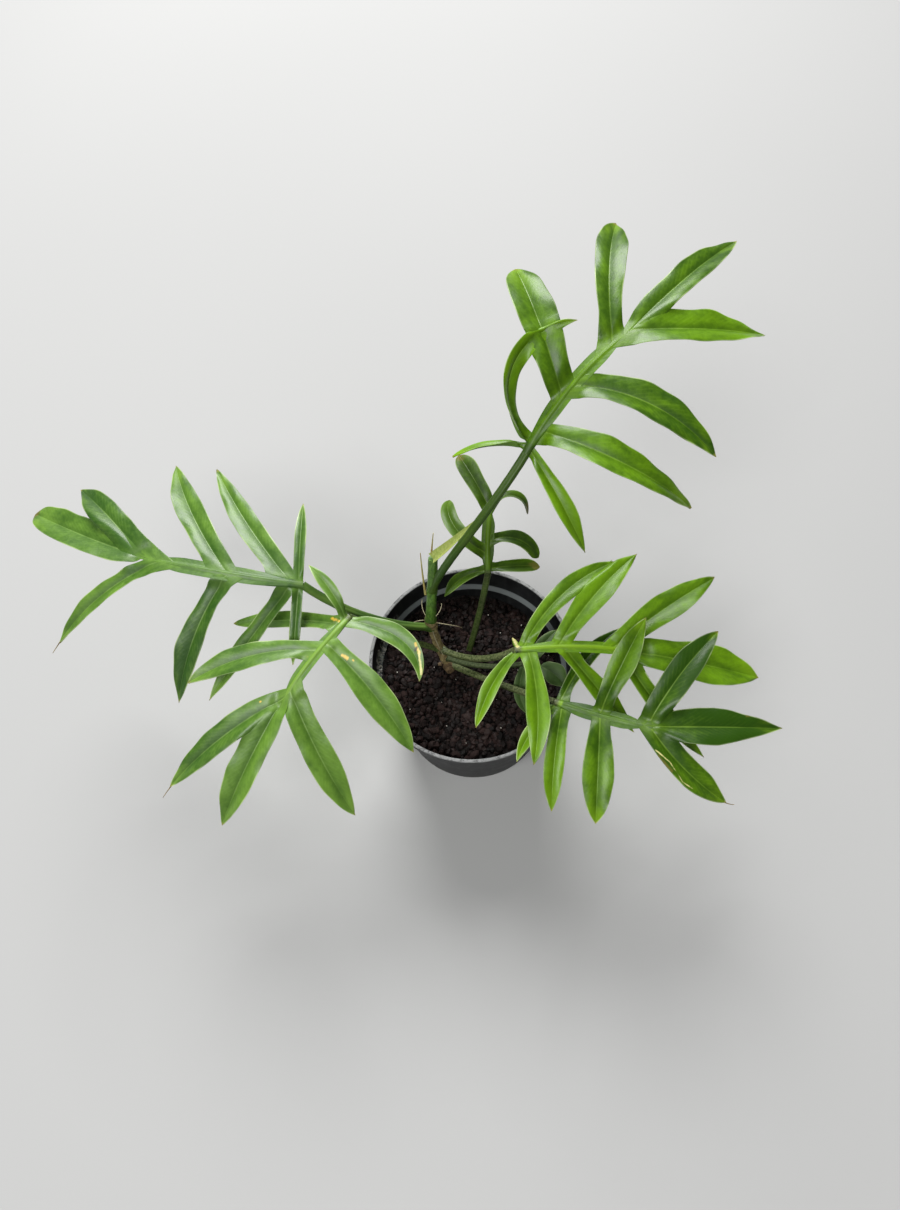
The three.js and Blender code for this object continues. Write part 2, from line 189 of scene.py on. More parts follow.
@dataclass(frozen=True)
class Rail:
    """The stations of a run, each with its vectors to the right and out of its upper face."""

    points: np.ndarray
    rights: np.ndarray
    outs: np.ndarray

    @classmethod
    def along(cls, start: np.ndarray, run: Run, shares: np.ndarray, roll: float = 0.0) -> "Rail":
        """Sets stations out along a run.

        Args:
            start: The point that the run starts from.
            run: The run.
            shares: Shares of its length.
            roll: How far the upper face is turned about the run.

        Returns:
            The rail.
        """
        directions = run.directions(shares)
        rights = unit(np.cross(directions, UP))
        outs = np.cross(rights, directions)
        turn = math.radians(roll)
        turned = rights * math.cos(turn) - outs * math.sin(turn)
        return cls(run.points(start, shares), turned, unit(np.cross(turned, directions)))

    def skin(self, aside: np.ndarray, above: np.ndarray) -> np.ndarray:
        """Gives a section of points at each station, by their distances to its right and above it."""
        level = self.points[:, None, :] + self.rights[:, None, :] * aside[:, :, None]
        return level + self.outs[:, None, :] * above[:, :, None]


@dataclass(frozen=True)
class Lobe:
    """One lobe of a blade: where it leaves the rachis, its midrib's run and its outline.

    Back and fore are how far its web reaches down and up the rachis, and bright is how much its
    tone differs from its leaf's; bright is partly painted light, raised on lobes that face away from
    the key lamp so that they read lighter. Tip is 0 for a drawn-out tip and 1 for a blunt one.
    """

    at: float
    run: Run
    width: float
    neck: float = 0.55
    widest: float = 0.56
    tip: float = 0.0
    roll: float = 0.0
    back: float = 9.0
    fore: float = 13.0
    bright: float = 0.0

    def widths(self, shares: np.ndarray) -> np.ndarray:
        """Gives the lobe's width along its midrib.

        Args:
            shares: Shares of the midrib's length.

        Returns:
            The widths: a neck, a wide middle and a drawn-out or blunt tip.
        """
        drawn_fall, blunt_fall = 1.7, 4.0
        drawn_power, blunt_power = 0.85, 0.5
        least_width = 0.5
        swell = smooth(shares, 0.0, self.widest)
        base = self.width * (self.neck + (1.0 - self.neck) * swell)
        s = np.clip((shares - self.widest) / (1.0 - self.widest), 0.0, 1.0)
        fall = drawn_fall + (blunt_fall - drawn_fall) * self.tip
        power = drawn_power + (blunt_power - drawn_power) * self.tip
        taper = self.width * (1.0 - s**fall) ** power
        return np.maximum(least_width, np.where(shares < self.widest, base, taper))


@dataclass(frozen=True)
class Blemish:
    """A streak on a lobe, from one place to another, each along the midrib and right of it."""

    stain: Stain
    lobe: int
    start: tuple[float, float]
    end: tuple[float, float]
    radius: float


@dataclass(frozen=True)
class LeafPlan:
    """The measured form of one leaf, from the foot of its petiole to its lobes, and its looks.

    Tone is how bright its blade is, and woody how far its petiole has turned from green to grey.
    """

    name: str
    carrier: Carrier
    at: float
    radius: float
    wing: float
    grade: Grade
    petiole: Run
    rachis: Run
    lobes: tuple[Lobe, ...]
    tone: float = 0.5
    woody: float = 0.5
    blemishes: tuple[Blemish, ...] = ()


STEM_SOIL_POINT = np.array((-19.0, 7.0, 106.0))
STEM_RUN = Run(50, 141, 69, -35, 13)
STEM_BURIED_RUN = Run(26, -37, -67, 0, 20)
STEM_RADIUS = 3.6
NODE_RADIUS = 4.9
STEM_NODE = STEM_RUN.point(STEM_SOIL_POINT, STEM_RUN.length)
SHOOT_RUN = Run(66, 74, 72, 7, 7)
SHOOT_RADIUS = 4.1
SHOOT_TOP = SHOOT_RUN.point(STEM_NODE, SHOOT_RUN.length)
SHEATH_RUN = Run(52, 13, 46, 10, -5)
SMALL_LEAF_FOOT = np.array((-6.0, 13.0, 90.0))

LEAF_PLANS: tuple[LeafPlan, ...] = (
    LeafPlan(
        "leaf_tall", Carrier.SHOOT, at=36, radius=3, wing=11, grade=Grade.FRESH,
        petiole=Run(136, 12, 75, 42, 49),
        rachis=Run(104, 53, 38, -16, 32),
        lobes=(
            Lobe(87, Run(103, 96, 23, -22, 42), 21, neck=0.62, widest=0.72, tip=0.05, back=18),
            Lobe(102, Run(114, 45, 11, 2, 29), 19, neck=0.95),
            Lobe(102, Run(98, 0, 2, 18, 32), 25, neck=0.9, widest=0.46, back=20),
            Lobe(41, Run(99, 112, 44, -8, 62), 24, neck=0.75, tip=0.8, bright=0.1),
            Lobe(7, Run(105, 172, 50, -175, 42, 0.75), 14, neck=0.8, roll=50, fore=7, bright=0.2),
            Lobe(4, Run(52, 166, 8, 26, 40), 10, roll=32, fore=5, bright=0.3),
            Lobe(51, Run(104, -8, 6, -33, 36), 25, neck=0.65, back=12, fore=8, bright=-0.1),
            Lobe(17, Run(120, -35, 20, 28, 74), 23, neck=0.65, widest=0.44, back=12, fore=5, bright=0.15),
            Lobe(4, Run(79, -62, -4, 10, 47), 13, fore=3, bright=0.6),
        ),
        tone=0.4,
        woody=0.1,
    ),
    LeafPlan(
        "leaf_left", Carrier.STEM, at=45, radius=3.1, wing=12, grade=Grade.WAXY,
        petiole=Run(109, 194, 30, -40, -5),
        rachis=Run(123, 178, 18, -15, 30),
        lobes=(
            Lobe(118, Run(127, 158, -9, -9, 8), 25, neck=0.9, tip=1),
            Lobe(121, Run(99, 131, 4, 8, 27), 22, neck=0.9, back=30),
            Lobe(106, Run(110, 194, -15, 28, 18), 15, neck=0.75, back=26),
            Lobe(54, Run(120, 128, 1, -16, 18), 20, neck=0.85, fore=18),
            Lobe(8, Run(124, 131, 5, -13, 16), 18, neck=0.85, fore=23),
            Lobe(3, Run(67, 92, 11, 0, 21), 9, neck=0.8, fore=6),
            Lobe(53, Run(109, 227, -24, 26, 18), 20, neck=0.65, back=14, fore=9),
            Lobe(7, Run(114, 219, -32, 12, -5), 15, neck=0.75, back=7, fore=9),
            Lobe(3, Run(59, 264, -24, -2, 12), 9, neck=0.8, fore=6),
        ),
        tone=0.35,
        woody=0.0,
        blemishes=(
            Blemish(Stain.BROWN, 0, (125, 2), (126, -3), 3.0),
        ),
    ),
    LeafPlan(
        "leaf_front_left", Carrier.STEM, at=20, radius=2.4, wing=9, grade=Grade.WAXY,
        petiole=Run(94, 186, 47, -10, -4),
        rachis=Run(80, 233, 13, -2, 46),
        lobes=(
            Lobe(3, Run(49, 117, 44, 20, 45), 10, fore=6),
            Lobe(8, Run(97, 159, -29, 24, -20), 13, neck=0.8, tip=0.5),
            Lobe(3, Run(76, -12, -4, -90, 22, 2.2), 16, widest=0.45, fore=8),
            Lobe(26, Run(102, -40, -13, -17, 24), 23, fore=6),
            Lobe(33, Run(102, 175, -1, 32, 18), 20),
            Lobe(75, Run(114, 204, -12, 15, 21), 20, neck=0.95),
            Lobe(77, Run(107, 236, -18, 4, 22), 23, neck=0.9),
            Lobe(67, Run(107, 291, -25, 15, 19), 22, neck=0.8, back=14),
        ),
        tone=0.55,
        woody=0.8,
        blemishes=(
            Blemish(Stain.YELLOW, 1, (3, 1.6), (11, 3.4), 1.7),
            Blemish(Stain.YELLOW, 2, (51, -5.2), (57, -3.6), 1.6),
            Blemish(Stain.CREAM, 2, (55, -4.4), (71, -1.2), 1.1),
            # painted shade in place of a hole torn through the lobe
            Blemish(Stain.TORN_HOLE_SHADE, 2, (53.2, -4.6), (54.2, -2.2), 1.3),
            Blemish(Stain.YELLOW, 3, (15, -1.6), (19, -2.6), 1.7),
            Blemish(Stain.YELLOW, 3, (22.4, -4.5), (23, -4.5), 1.1),
            Blemish(Stain.YELLOW, 4, (9, -5.8), (11, -6.2), 2.6),
            Blemish(Stain.YELLOW, 5, (16, 5.5), (16.6, 5.5), 0.9),
        ),
    ),
    LeafPlan(
        "leaf_small", Carrier.SOIL, at=0, radius=2.5, wing=9.5, grade=Grade.DEEP,
        petiole=Run(105, 57, 63, 12, -6),
        rachis=Run(49, 93, 46, -11, 36),
        lobes=(
            Lobe(47, Run(52, 118, 24, -1, 38), 15, neck=0.75, tip=0.7),
            Lobe(46, Run(46, 68, 37, -135, 120), 11, roll=-30),
            Lobe(23, Run(46, 30, 5, -80, 52), 12, tip=0.5, back=7, fore=7),
            Lobe(3, Run(41, 11, -4, -5, 20), 11, neck=0.7, tip=0.5, fore=7),
            Lobe(14, Run(64, 167, 34, -90, 68), 12.5, neck=0.8, tip=0.5, fore=8),
            Lobe(2, Run(46, 180, -12, 36, 51), 10, neck=0.7, fore=7),
        ),
        woody=0.5,
        blemishes=(
            Blemish(Stain.BROWN, 3, (37, 0), (41, 0), 6.0),
            Blemish(Stain.BROWN, 1, (40, 1), (46, 0), 6.0),
            Blemish(Stain.BROWN, 0, (50, 0), (52, 0), 6.0),
        ),
    ),
    LeafPlan(
        "leaf_right", Carrier.STEM, at=21, radius=2.6, wing=9, grade=Grade.FRESH,
        petiole=Run(81, -35, 20, 35, -38),
        rachis=Run(94, 5, 8, -11, 22),
        lobes=(
            Lobe(2, Run(65, 226, -5, 28, 26), 12, fore=8, bright=0.25),
            Lobe(9, Run(84, -75, 2, -26, 26), 17, fore=7, bright=0.2),
            Lobe(5, Run(100, 62, 18, -37, 28), 16, neck=0.6, fore=7),
            Lobe(31, Run(93, 58, 14, -18, 15), 21, neck=0.6, back=7, fore=9),
            Lobe(70, Run(98, 38, 9, -6, 18), 22, neck=0.65),
            Lobe(72, Run(115, -7, -5, 1, 20), 31, neck=0.6, widest=0.6, bright=-0.05),
            Lobe(34, Run(85, -44, -28, -1, -1), 15, neck=0.6, fore=9),
            Lobe(76, Run(104, -56, -26, 18, 0), 14, neck=0.75),
            Lobe(3, Run(10, 120, 20, 0, 20), 4, back=3, fore=3),
        ),
        tone=0.6,
        woody=0.9,
        blemishes=(
            Blemish(Stain.CREAM, 8, (1, 0), (10, 0), 2.0),
        ),
    ),
    LeafPlan(
        "leaf_front_right", Carrier.STEM, at=1, radius=2.6, wing=11, grade=Grade.FRESH,
        petiole=Run(108, -33, 25, 4, -9),
        rachis=Run(71, -23, 12, 7, -2),
        lobes=(
            Lobe(3, Run(53, 214, -12, 37, 10), 10, fore=8, bright=0.8),
            Lobe(6, Run(77, -103, -3, 12, 29), 15, neck=0.75, fore=9, bright=0.8),
            Lobe(34, Run(76, -96, 3, 4, 38), 23, back=6, fore=8, bright=0.4),
            Lobe(69, Run(77, -57, -11, 32, 20), 20, neck=0.8),
            Lobe(69, Run(98, 0, 1, 4, 22), 28, neck=0.7, widest=0.46, tip=-0.25),
            Lobe(67, Run(84, 59, 27, -16, 27), 21, neck=0.75),
            Lobe(33, Run(77, 65, 37, -6, 23), 18.5, fore=8, bright=0.1),
            Lobe(4, Run(80, 67, -9, -30, -5), 12, fore=9),
        ),
        tone=0.2,
        woody=0.9,
        blemishes=(
            Blemish(Stain.BROWN, 3, (18, 8), (30, 8.6), 1.5),
            Blemish(Stain.CREAM, 3, (14, 7), (26, 5), 0.7),
            Blemish(Stain.CREAM, 3, (26, 5), (40, 8.8), 0.75),
            Blemish(Stain.CREAM, 3, (40, 8.8), (48, 7.4), 0.7),
            Blemish(Stain.BROWN, 4, (69.5, -7.6), (71, -7.6), 1.3),
        ),
    ),
    LeafPlan(
        "leaf_old", Carrier.STEM, at=10, radius=2.1, wing=6, grade=Grade.DULL,
        petiole=Run(71, -31, 24, 32, -2),
        rachis=Run(14, -2, 10, -10, 20),
        lobes=(
            Lobe(12, Run(26, -24, 4, -28, 25), 17, neck=0.6),
            Lobe(3, Run(42, 232, -38, 77, -6), 10, fore=5),
            Lobe(6, Run(36, 62, 6, -17, 20), 11, fore=5),
        ),
        woody=0.8,
    ),
)


class Signal:
    """A shader socket that takes part in Python expressions; each operator adds a Math node."""

    def __init__(self, painter: "Painter", socket: bpy.types.NodeSocket) -> None:
        """Keeps the socket and the painter that owns its node tree."""
        self.painter = painter
        self.socket = socket

    def __add__(self, other: Any) -> "Signal":
        """Adds."""
        return self.painter.math("ADD", self, other)

    def __radd__(self, other: Any) -> "Signal":
        """Adds to a number."""
        return self.painter.math("ADD", other, self)

    def __sub__(self, other: Any) -> "Signal":
        """Subtracts."""
        return self.painter.math("SUBTRACT", self, other)

    def __rsub__(self, other: Any) -> "Signal":
        """Subtracts from a number."""
        return self.painter.math("SUBTRACT", other, self)

    def __mul__(self, other: Any) -> "Signal":
        """Multiplies."""
        return self.painter.math("MULTIPLY", self, other)

    def __rmul__(self, other: Any) -> "Signal":
        """Multiplies a number."""
        return self.painter.math("MULTIPLY", other, self)

    def __truediv__(self, other: Any) -> "Signal":
        """Divides."""
        return self.painter.math("DIVIDE", self, other)

    def __rtruediv__(self, other: Any) -> "Signal":
        """Divides a number."""
        return self.painter.math("DIVIDE", other, self)

    def __pow__(self, other: Any) -> "Signal":
        """Raises to a power."""
        return self.painter.math("POWER", self, other)

    def __rpow__(self, other: Any) -> "Signal":
        """Raises a number to this power."""
        return self.painter.math("POWER", other, self)

    def __abs__(self) -> "Signal":
        """Takes the size without the sign."""
        return self.painter.math("ABSOLUTE", self)

    def ease(self, low: float, high: float) -> "Signal":
        """Eases from 0 to 1 between two limits.

        Args:
            low: Where the result is still 0.
            high: Where the result has reached 1.

        Returns:
            The eased value.
        """
        limits = {"Value": self, "From Min": low, "From Max": high, "To Min": 0.0, "To Max": 1.0}
        node = self.painter.node("ShaderNodeMapRange", {"interpolation_type": "SMOOTHSTEP"}, limits)
        return Signal(self.painter, node.outputs["Result"])


class Painter:
    """Builds one material's node tree."""

    def __init__(self, name: str) -> None:
        """Starts a material with an empty tree.

        Args:
            name: The material's name.
        """
        self.material = bpy.data.materials.new(name)
        self.material.use_nodes = True
        self.tree = self.material.node_tree
        self.tree.nodes.clear()

    def node(self, kind: str, settings: dict[str, Any], inputs: dict[Any, Any]) -> bpy.types.Node:
        """Adds a node.

        Args:
            kind: The node's type.
            settings: The node's own settings, which are set first.
            inputs: Values or signals for its sockets, by name or by number.

        Returns:
            The node.
        """
        node = self.tree.nodes.new(kind)
        for key, value in settings.items():
            setattr(node, key, value)
        for key, value in inputs.items():
            if isinstance(value, Signal):
                self.tree.links.new(value.socket, node.inputs[key])
            else:
                node.inputs[key].default_value = value
        return node

    def math(self, operation: str, first: Any, second: Any = 0.0) -> Signal:
        """Adds a Math node for two signals or numbers."""
        node = self.node("ShaderNodeMath", {"operation": operation}, {0: first, 1: second})
        return Signal(self, node.outputs[0])

    def mix(self, share: Any, first: Any, second: Any) -> Signal:
        """Mixes a share of the second colour into the first."""
        node = self.node("ShaderNodeMix", {"data_type": "RGBA"}, {0: share, 6: first, 7: second})
        return Signal(self, node.outputs[2])

    def position(self) -> Signal:
        """Gives the place on the object."""
        return Signal(self, self.node("ShaderNodeTexCoord", {}, {}).outputs["Object"])

    def stretched(self, z: float) -> Signal:
        """Gives the place on the object, scaled along its height."""
        node = self.node("ShaderNodeMapping", {}, {"Vector": self.position(), "Scale": (1.0, 1.0, z)})
        return Signal(self, node.outputs["Vector"])

    def parts(self, vector: Signal) -> tuple[Signal, ...]:
        """Splits a vector into its three values."""
        node = self.node("ShaderNodeSeparateXYZ", {}, {"Vector": vector})
        return tuple(Signal(self, socket) for socket in node.outputs)

    def trait(self, name: str) -> tuple[Signal, ...]:
        """Reads the three values of a mesh's vector attribute."""
        node = self.node("ShaderNodeAttribute", {"attribute_name": name}, {})
        return self.parts(Signal(self, node.outputs["Vector"]))

    def joined(self, x: Any, y: Any, z: Any) -> Signal:
        """Joins three values to a vector."""
        node = self.node("ShaderNodeCombineXYZ", {}, {"X": x, "Y": y, "Z": z})
        return Signal(self, node.outputs["Vector"])

    def noise(self, place: Signal, size: float, detail: float = 3.0, rough: float = 0.55) -> Signal:
        """Adds a noise.

        Args:
            place: Where it is read.
            size: The size of its patches, in millimetres.
            detail: How many finer layers it has.
            rough: How strong those layers are.

        Returns:
            The noise, about 0.5 on average.
        """
        settings = {"noise_dimensions": "3D"}
        values = {"Vector": place, "Scale": 1.0 / (size * MM), "Detail": detail, "Roughness": rough}
        return Signal(self, self.node("ShaderNodeTexNoise", settings, values).outputs[0])

    def vector(self, operation: str, inputs: dict[Any, Any], output: str = "Vector") -> Signal:
        """Adds a Vector Math node and gives one of its outputs."""
        node = self.node("ShaderNodeVectorMath", {"operation": operation}, inputs)
        return Signal(self, node.outputs[output])

    def near(self, place: Signal, streak: "Streak", ragged: Signal) -> Signal:
        """Gives how near the surface is to a streak.

        Args:
            place: The place on the object.
            streak: The streak.
            ragged: A noise that makes the streak's edge uneven.

        Returns:
            1 along the streak's middle, falling to 0 at its edge.
        """
        unevenness, solid_core = 2.0, 0.3
        start = np.array(streak.start) * MM
        reach = np.array(streak.end) * MM - start
        length = max(float(np.linalg.norm(reach)), TINY)
        heading = tuple((reach / length).tolist())
        radius = streak.radius * MM
        offset = self.vector("SUBTRACT", {0: place, 1: tuple(start.tolist())})
        ahead = self.vector("DOT_PRODUCT", {0: offset, 1: heading}, "Value")
        ahead = self.math("MINIMUM", self.math("MAXIMUM", ahead, 0.0), length)
        foot = self.vector("SCALE", {0: heading, "Scale": ahead})
        distance = self.vector("DISTANCE", {0: offset, 1: foot}, "Value")
        distance = distance + (ragged - 0.5) * (radius * unevenness)
        return 1.0 - distance.ease(radius * solid_core, radius)

    def finish(self, colour: Any, roughness: Any, height: Any = None, **rest: Any) -> bpy.types.Material:
        """Ends the tree in a Principled shader.

        Args:
            colour: The base colour.
            roughness: The roughness.
            height: A height in millimetres for the bump, if there is one.
            **rest: Other sockets of the shader, with underscores for spaces.

        Returns:
            The material.
        """
        inputs = {"Base Color": colour, "Roughness": roughness}
        inputs.update({key.replace("_", " "): value for key, value in rest.items()})
        shader = self.node("ShaderNodeBsdfPrincipled", {}, inputs)
        if height is not None:
            bump = self.node("ShaderNodeBump", {}, {"Height": height, "Distance": MM, "Strength": 1.0})
            self.tree.links.new(bump.outputs["Normal"], shader.inputs["Normal"])
        output = self.node("ShaderNodeOutputMaterial", {}, {})
        self.tree.links.new(shader.outputs["BSDF"], output.inputs["Surface"])
        return self.material


@dataclass(frozen=True)
class Streak:
    """A blemish where it lies on the plant: its stain, its two ends and its radius."""

    stain: Stain
    start: tuple[float, float, float]
    end: tuple[float, float, float]
    radius: float


@dataclass(frozen=True)
class LeafFinish:
    """The finish of a leaf: waxy blades with pale ribs, and darker stalks.

    The sizes are in millimetres, and the strengths are shares of the colour that is mixed in.
    """

    name: str
    dark: Colour
    bright: Colour
    young: Colour
    vein: Colour
    rim: Colour
    green: Colour
    stalk: Colour
    shade: Colour
    under: Colour
    tip: Colour
    roughness: float = 0.4
    coat: float = 0.08
    coat_roughness: float = 0.22
    specular: float = 0.32
    patch_size: float = 13.0
    mottle_size: float = 4.5
    speck_size: float = 1.6
    grain_size: float = 0.7
    vein_slant: float = 1.9
    vein_rate: float = 1.25
    # share of painted shade mixed into the valley along the midrib
    valley_shade_strength: float = 0.35
    vein_strength: float = 0.06
    rib_width: float = 0.85
    rib_strength: float = 0.34
    young_foot: float = 0.22
    young_end: float = 0.4
    brown_strength: float = 0.75
    under_strength: float = 0.8
    mark_strength: float = 0.9
    streaks: tuple[Streak, ...] = ()

    def material(self) -> bpy.types.Material:
        """Builds the material.

        Returns:
            The material.
        """
        paint = Painter(self.name)
        place = paint.position()
        across, along, margin = paint.trait("blade")
        share, tone, part = paint.trait("growth")
        side, _, _ = paint.trait("skin")
        span = abs(across)

        flow = paint.joined(across * 1.5 * MM, along * 0.4 * MM, tone * 0.05)
        patches = paint.noise(flow, self.patch_size, 2.0)
        mottle = paint.noise(place, self.mottle_size, 4.0, 0.65)
        light = (patches - 0.5) * 0.75 + (tone - 0.5) * 0.9 + (mottle - 0.5) * 0.5 + 0.5
        plain = paint.mix(light.ease(0.05, 0.95), self.dark, self.bright)
        # painted shade: the blade is darkened beside the midrib, in the valley of the fold where shade
        # falls, less towards the tip
        midrib_valley_shade = (1.0 - span.ease(0.6, 5.0)) * (1.0 - share.ease(0.7, 1.0))
        blade = paint.mix(midrib_valley_shade * self.valley_shade_strength, plain, self.dark)

        phase = (along - span * self.vein_slant + (mottle - 0.5) * 4.0) * self.vein_rate
        ripple = paint.math("SINE", phase)
        lateral = (ripple * 0.5 + 0.5) ** 5.0 * margin.ease(0.6, 3.0) * span.ease(0.4, 1.6)
        blade = paint.mix(lateral * patches.ease(0.35, 0.65) * self.vein_strength, blade, self.vein)
        fresh_foot = (1.0 - share.ease(0.0, 0.2)) * self.young_foot
        fresh_end = share.ease(0.72, 1.0) * patches.ease(0.4, 0.6) * self.young_end
        blade = paint.mix(fresh_foot + fresh_end, blade, self.young)

        rib = 1.0 - (span / (self.rib_width - share * 0.5)).ease(0.4, 1.2)
        faint = patches.ease(0.3, 0.6) * 0.7 + 0.3
        blade = paint.mix(rib * (self.rib_strength - share * 0.26) * faint, blade, self.vein)
        edge = 1.0 - margin.ease(0.15, 0.9)
        blade = paint.mix(edge * (patches.ease(0.4, 0.65) * 0.5 + 0.2), blade, self.rim)
        browned = (share + (mottle - 0.5) * 0.05).ease(0.965, 0.995)
        blade = paint.mix(browned * self.brown_strength, blade, self.tip)

        specks = paint.noise(place, self.speck_size, 4.0, 0.7)
        green = paint.mix(patches.ease(0.3, 0.7), self.green, self.dark)
        grey = paint.mix(specks.ease(0.35, 0.62), self.shade, self.stalk)
        stalk = paint.mix(tone, green, grey)
        ridge = 1.0 - span.ease(1.0, 2.1)
        rachis = paint.mix(ridge * (tone.ease(0.35, 0.6) * 0.55 + 0.08), plain, self.young)
        leaf = paint.mix(part.ease(0.2, 0.5), blade, rachis)
        leaf = paint.mix(part.ease(0.55, 0.95), leaf, stalk)

        under = (1.0 - side) * (1.0 - part.ease(0.6, 0.9)) * self.under_strength
        leaf = paint.mix(under, leaf, self.under)
        for streak in self.streaks:
            mark = paint.near(place, streak, mottle)
            leaf = paint.mix(mark * self.mark_strength, leaf, tint(*streak.stain.value))

        rough = self.roughness + (mottle - 0.5) * 0.16 + (1.0 - side) * 0.2 + part * 0.12
        quilt = ripple * share.ease(0.08, 0.3) * span.ease(0.5, 3.0) * margin.ease(0.3, 3.0) * 0.01
        grain = paint.noise(place, self.grain_size, 2.0) * 0.025
        height = quilt + grain + mottle * 0.18 - rib * 0.08
        gloss = {"Coat_Weight": self.coat, "Coat_Roughness": self.coat_roughness}
        return paint.finish(leaf, rough, height, Specular_IOR_Level=self.specular, **gloss)


LEAF_FINISHES: dict[Grade, LeafFinish] = {
    Grade.FRESH: LeafFinish(
        "leaf_fresh",
        dark=tint(38, 72, 0),
        bright=tint(108, 152, 6),
        young=tint(134, 174, 24),
        vein=tint(156, 192, 76),
        rim=tint(196, 214, 150),
        green=tint(56, 84, 6),
        stalk=tint(104, 110, 72),
        shade=tint(40, 52, 20),
        under=tint(104, 140, 60),
        tip=tint(150, 140, 60),
    ),
    Grade.WAXY: LeafFinish(
        "leaf_waxy",
        dark=tint(42, 80, 14),
        bright=tint(108, 148, 48),
        young=tint(134, 172, 64),
        vein=tint(170, 202, 118),
        rim=tint(196, 214, 150),
        green=tint(88, 118, 38),
        stalk=tint(104, 116, 66),
        shade=tint(44, 56, 22),
        under=tint(112, 148, 80),
        tip=tint(150, 140, 60),
        roughness=0.42,
        specular=0.5,
    ),
    Grade.DEEP: LeafFinish(
        "leaf_deep",
        dark=tint(22, 44, 0),
        bright=tint(70, 102, 2),
        young=tint(92, 126, 14),
        vein=tint(118, 148, 52),
        rim=tint(150, 172, 104),
        green=tint(66, 94, 26),
        stalk=tint(88, 92, 60),
        shade=tint(44, 54, 24),
        under=tint(70, 100, 32),
        tip=tint(92, 90, 34),
        roughness=0.45,
        coat=0.05,
        specular=0.25,
    ),
    Grade.DULL: LeafFinish(
        "leaf_faded",
        dark=tint(44, 66, 26),
        bright=tint(78, 104, 50),
        young=tint(96, 120, 60),
        vein=tint(118, 140, 84),
        rim=tint(140, 156, 108),
        green=tint(58, 78, 30),
        stalk=tint(72, 80, 50),
        shade=tint(34, 44, 20),
        under=tint(100, 116, 76),
        tip=tint(140, 124, 84),
        roughness=0.55,
        coat=0.0,
    ),
}


@dataclass(frozen=True)
class PlasticFinish:
    """Black moulded plastic, scuffed and dusty, a lip pale from wear and painted highlight, a painted ledge
    sheen, and chalk dried at the left.
    """

    lip_height: float
    ledge_height: float
    collar_radius: float
    collar_lean: float = 0.05
    dust_size: float = 14.0
    scuff_size: float = 3.0
    streak_size: float = 5.0
    chalk_size: float = 4.5
    grain_size: float = 0.5
    splash_height: float = 34.0
    chalk_right: float = -58.0
    chalk_left: float = -70.0

    def material(self) -> bpy.types.Material:
        """Builds the material.

        Returns:
            The material.
        """
        paint = Painter("pot_plastic")
        place = paint.position()
        x, y, height = paint.parts(place)
        lip, ledge, collar = self.lip_height, self.ledge_height, self.collar_radius
        dust = paint.noise(place, self.dust_size, 5.0, 0.65)
        scuffs = paint.noise(paint.stretched(5.0), self.scuff_size, 4.0, 0.7)
        streaks = paint.noise(paint.stretched(0.12), self.streak_size, 3.0)
        body = paint.mix(dust.ease(0.35, 0.8), tint(17, 18, 19), tint(36, 37, 38))
        body = paint.mix(streaks.ease(0.5, 0.8) * 0.3, body, tint(70, 71, 70))
        body = paint.mix(scuffs.ease(0.62, 0.75) * 0.22, body, tint(100, 100, 98))
        # painted highlight and wear: the top of the rolled lip is painted pale grey, as light catching the
        # bead and as rubbed plastic
        lip_wear_and_highlight = height.ease((lip - 1.6) * MM, (lip - 0.5) * MM) * scuffs.ease(0.25, 0.6)
        body = paint.mix(lip_wear_and_highlight * 0.8, body, tint(150, 151, 150))
        splash = (1.0 - height.ease(2.0 * MM, self.splash_height * MM)) * dust.ease(0.45, 0.7)
        body = paint.mix(splash * 0.4, body, tint(104, 98, 90))

        # painted sheen: the upward face of the ledge inside the collar is painted pale bluish grey,
        # standing in for the light from above on it
        radius = paint.vector("LENGTH", {0: paint.joined(x, y, 0.0)}, "Value")
        upright = radius - (height - ledge * MM) * self.collar_lean
        within = 1.0 - upright.ease((collar - 1.1) * MM, (collar - 0.7) * MM)
        above = height.ease((ledge - 1.0) * MM, (ledge - 0.2) * MM)
        near_ledge = 1.0 - height.ease((ledge + 1.4) * MM, (ledge + 2.4) * MM)
        body = paint.mix(within * above * near_ledge * 0.8, body, tint(104, 110, 110))
        chalk = paint.noise(paint.stretched(0.35), self.chalk_size, 5.0, 0.75).ease(0.49, 0.55)
        left = 1.0 - x.ease(self.chalk_left * MM, self.chalk_right * MM)
        low = 1.0 - height.ease((ledge + 5.0) * MM, (ledge + 12.0) * MM)
        body = paint.mix(chalk * left * low * above * within * 0.9, body, tint(205, 203, 196))
        rough = 0.6 + (dust - 0.5) * 0.3 + scuffs.ease(0.6, 0.75) * 0.12
        grain = paint.noise(place, self.grain_size, 2.0) * 0.02 + scuffs * 0.03
        return paint.finish(body, rough, grain, Specular_IOR_Level=0.35)


@dataclass(frozen=True)
class SoilFinish:
    """Damp dark potting mix."""

    name: str
    dark: Colour
    light: Colour
    grain_size: float = 1.1
    clump_size: float = 9.0
    dry_roughness: float = 0.9

    def material(self) -> bpy.types.Material:
        """Builds the material.

        Returns:
            The material.
        """
        paint = Painter(self.name)
        place = paint.position()
        tone, wet, _ = paint.trait("growth")
        fine = paint.noise(place, self.grain_size, 4.0, 0.7)
        clumps = paint.noise(place, self.clump_size, 2.0)
        light = tone * 0.6 + (fine - 0.5) * 0.9 + (clumps - 0.5) * 0.7 + 0.15
        body = paint.mix(light.ease(0.0, 1.0), self.dark, self.light)
        rough = self.dry_roughness - wet * 0.42 + (fine - 0.5) * 0.25
        return paint.finish(body, rough, fine * 0.35, Specular_IOR_Level=0.2)


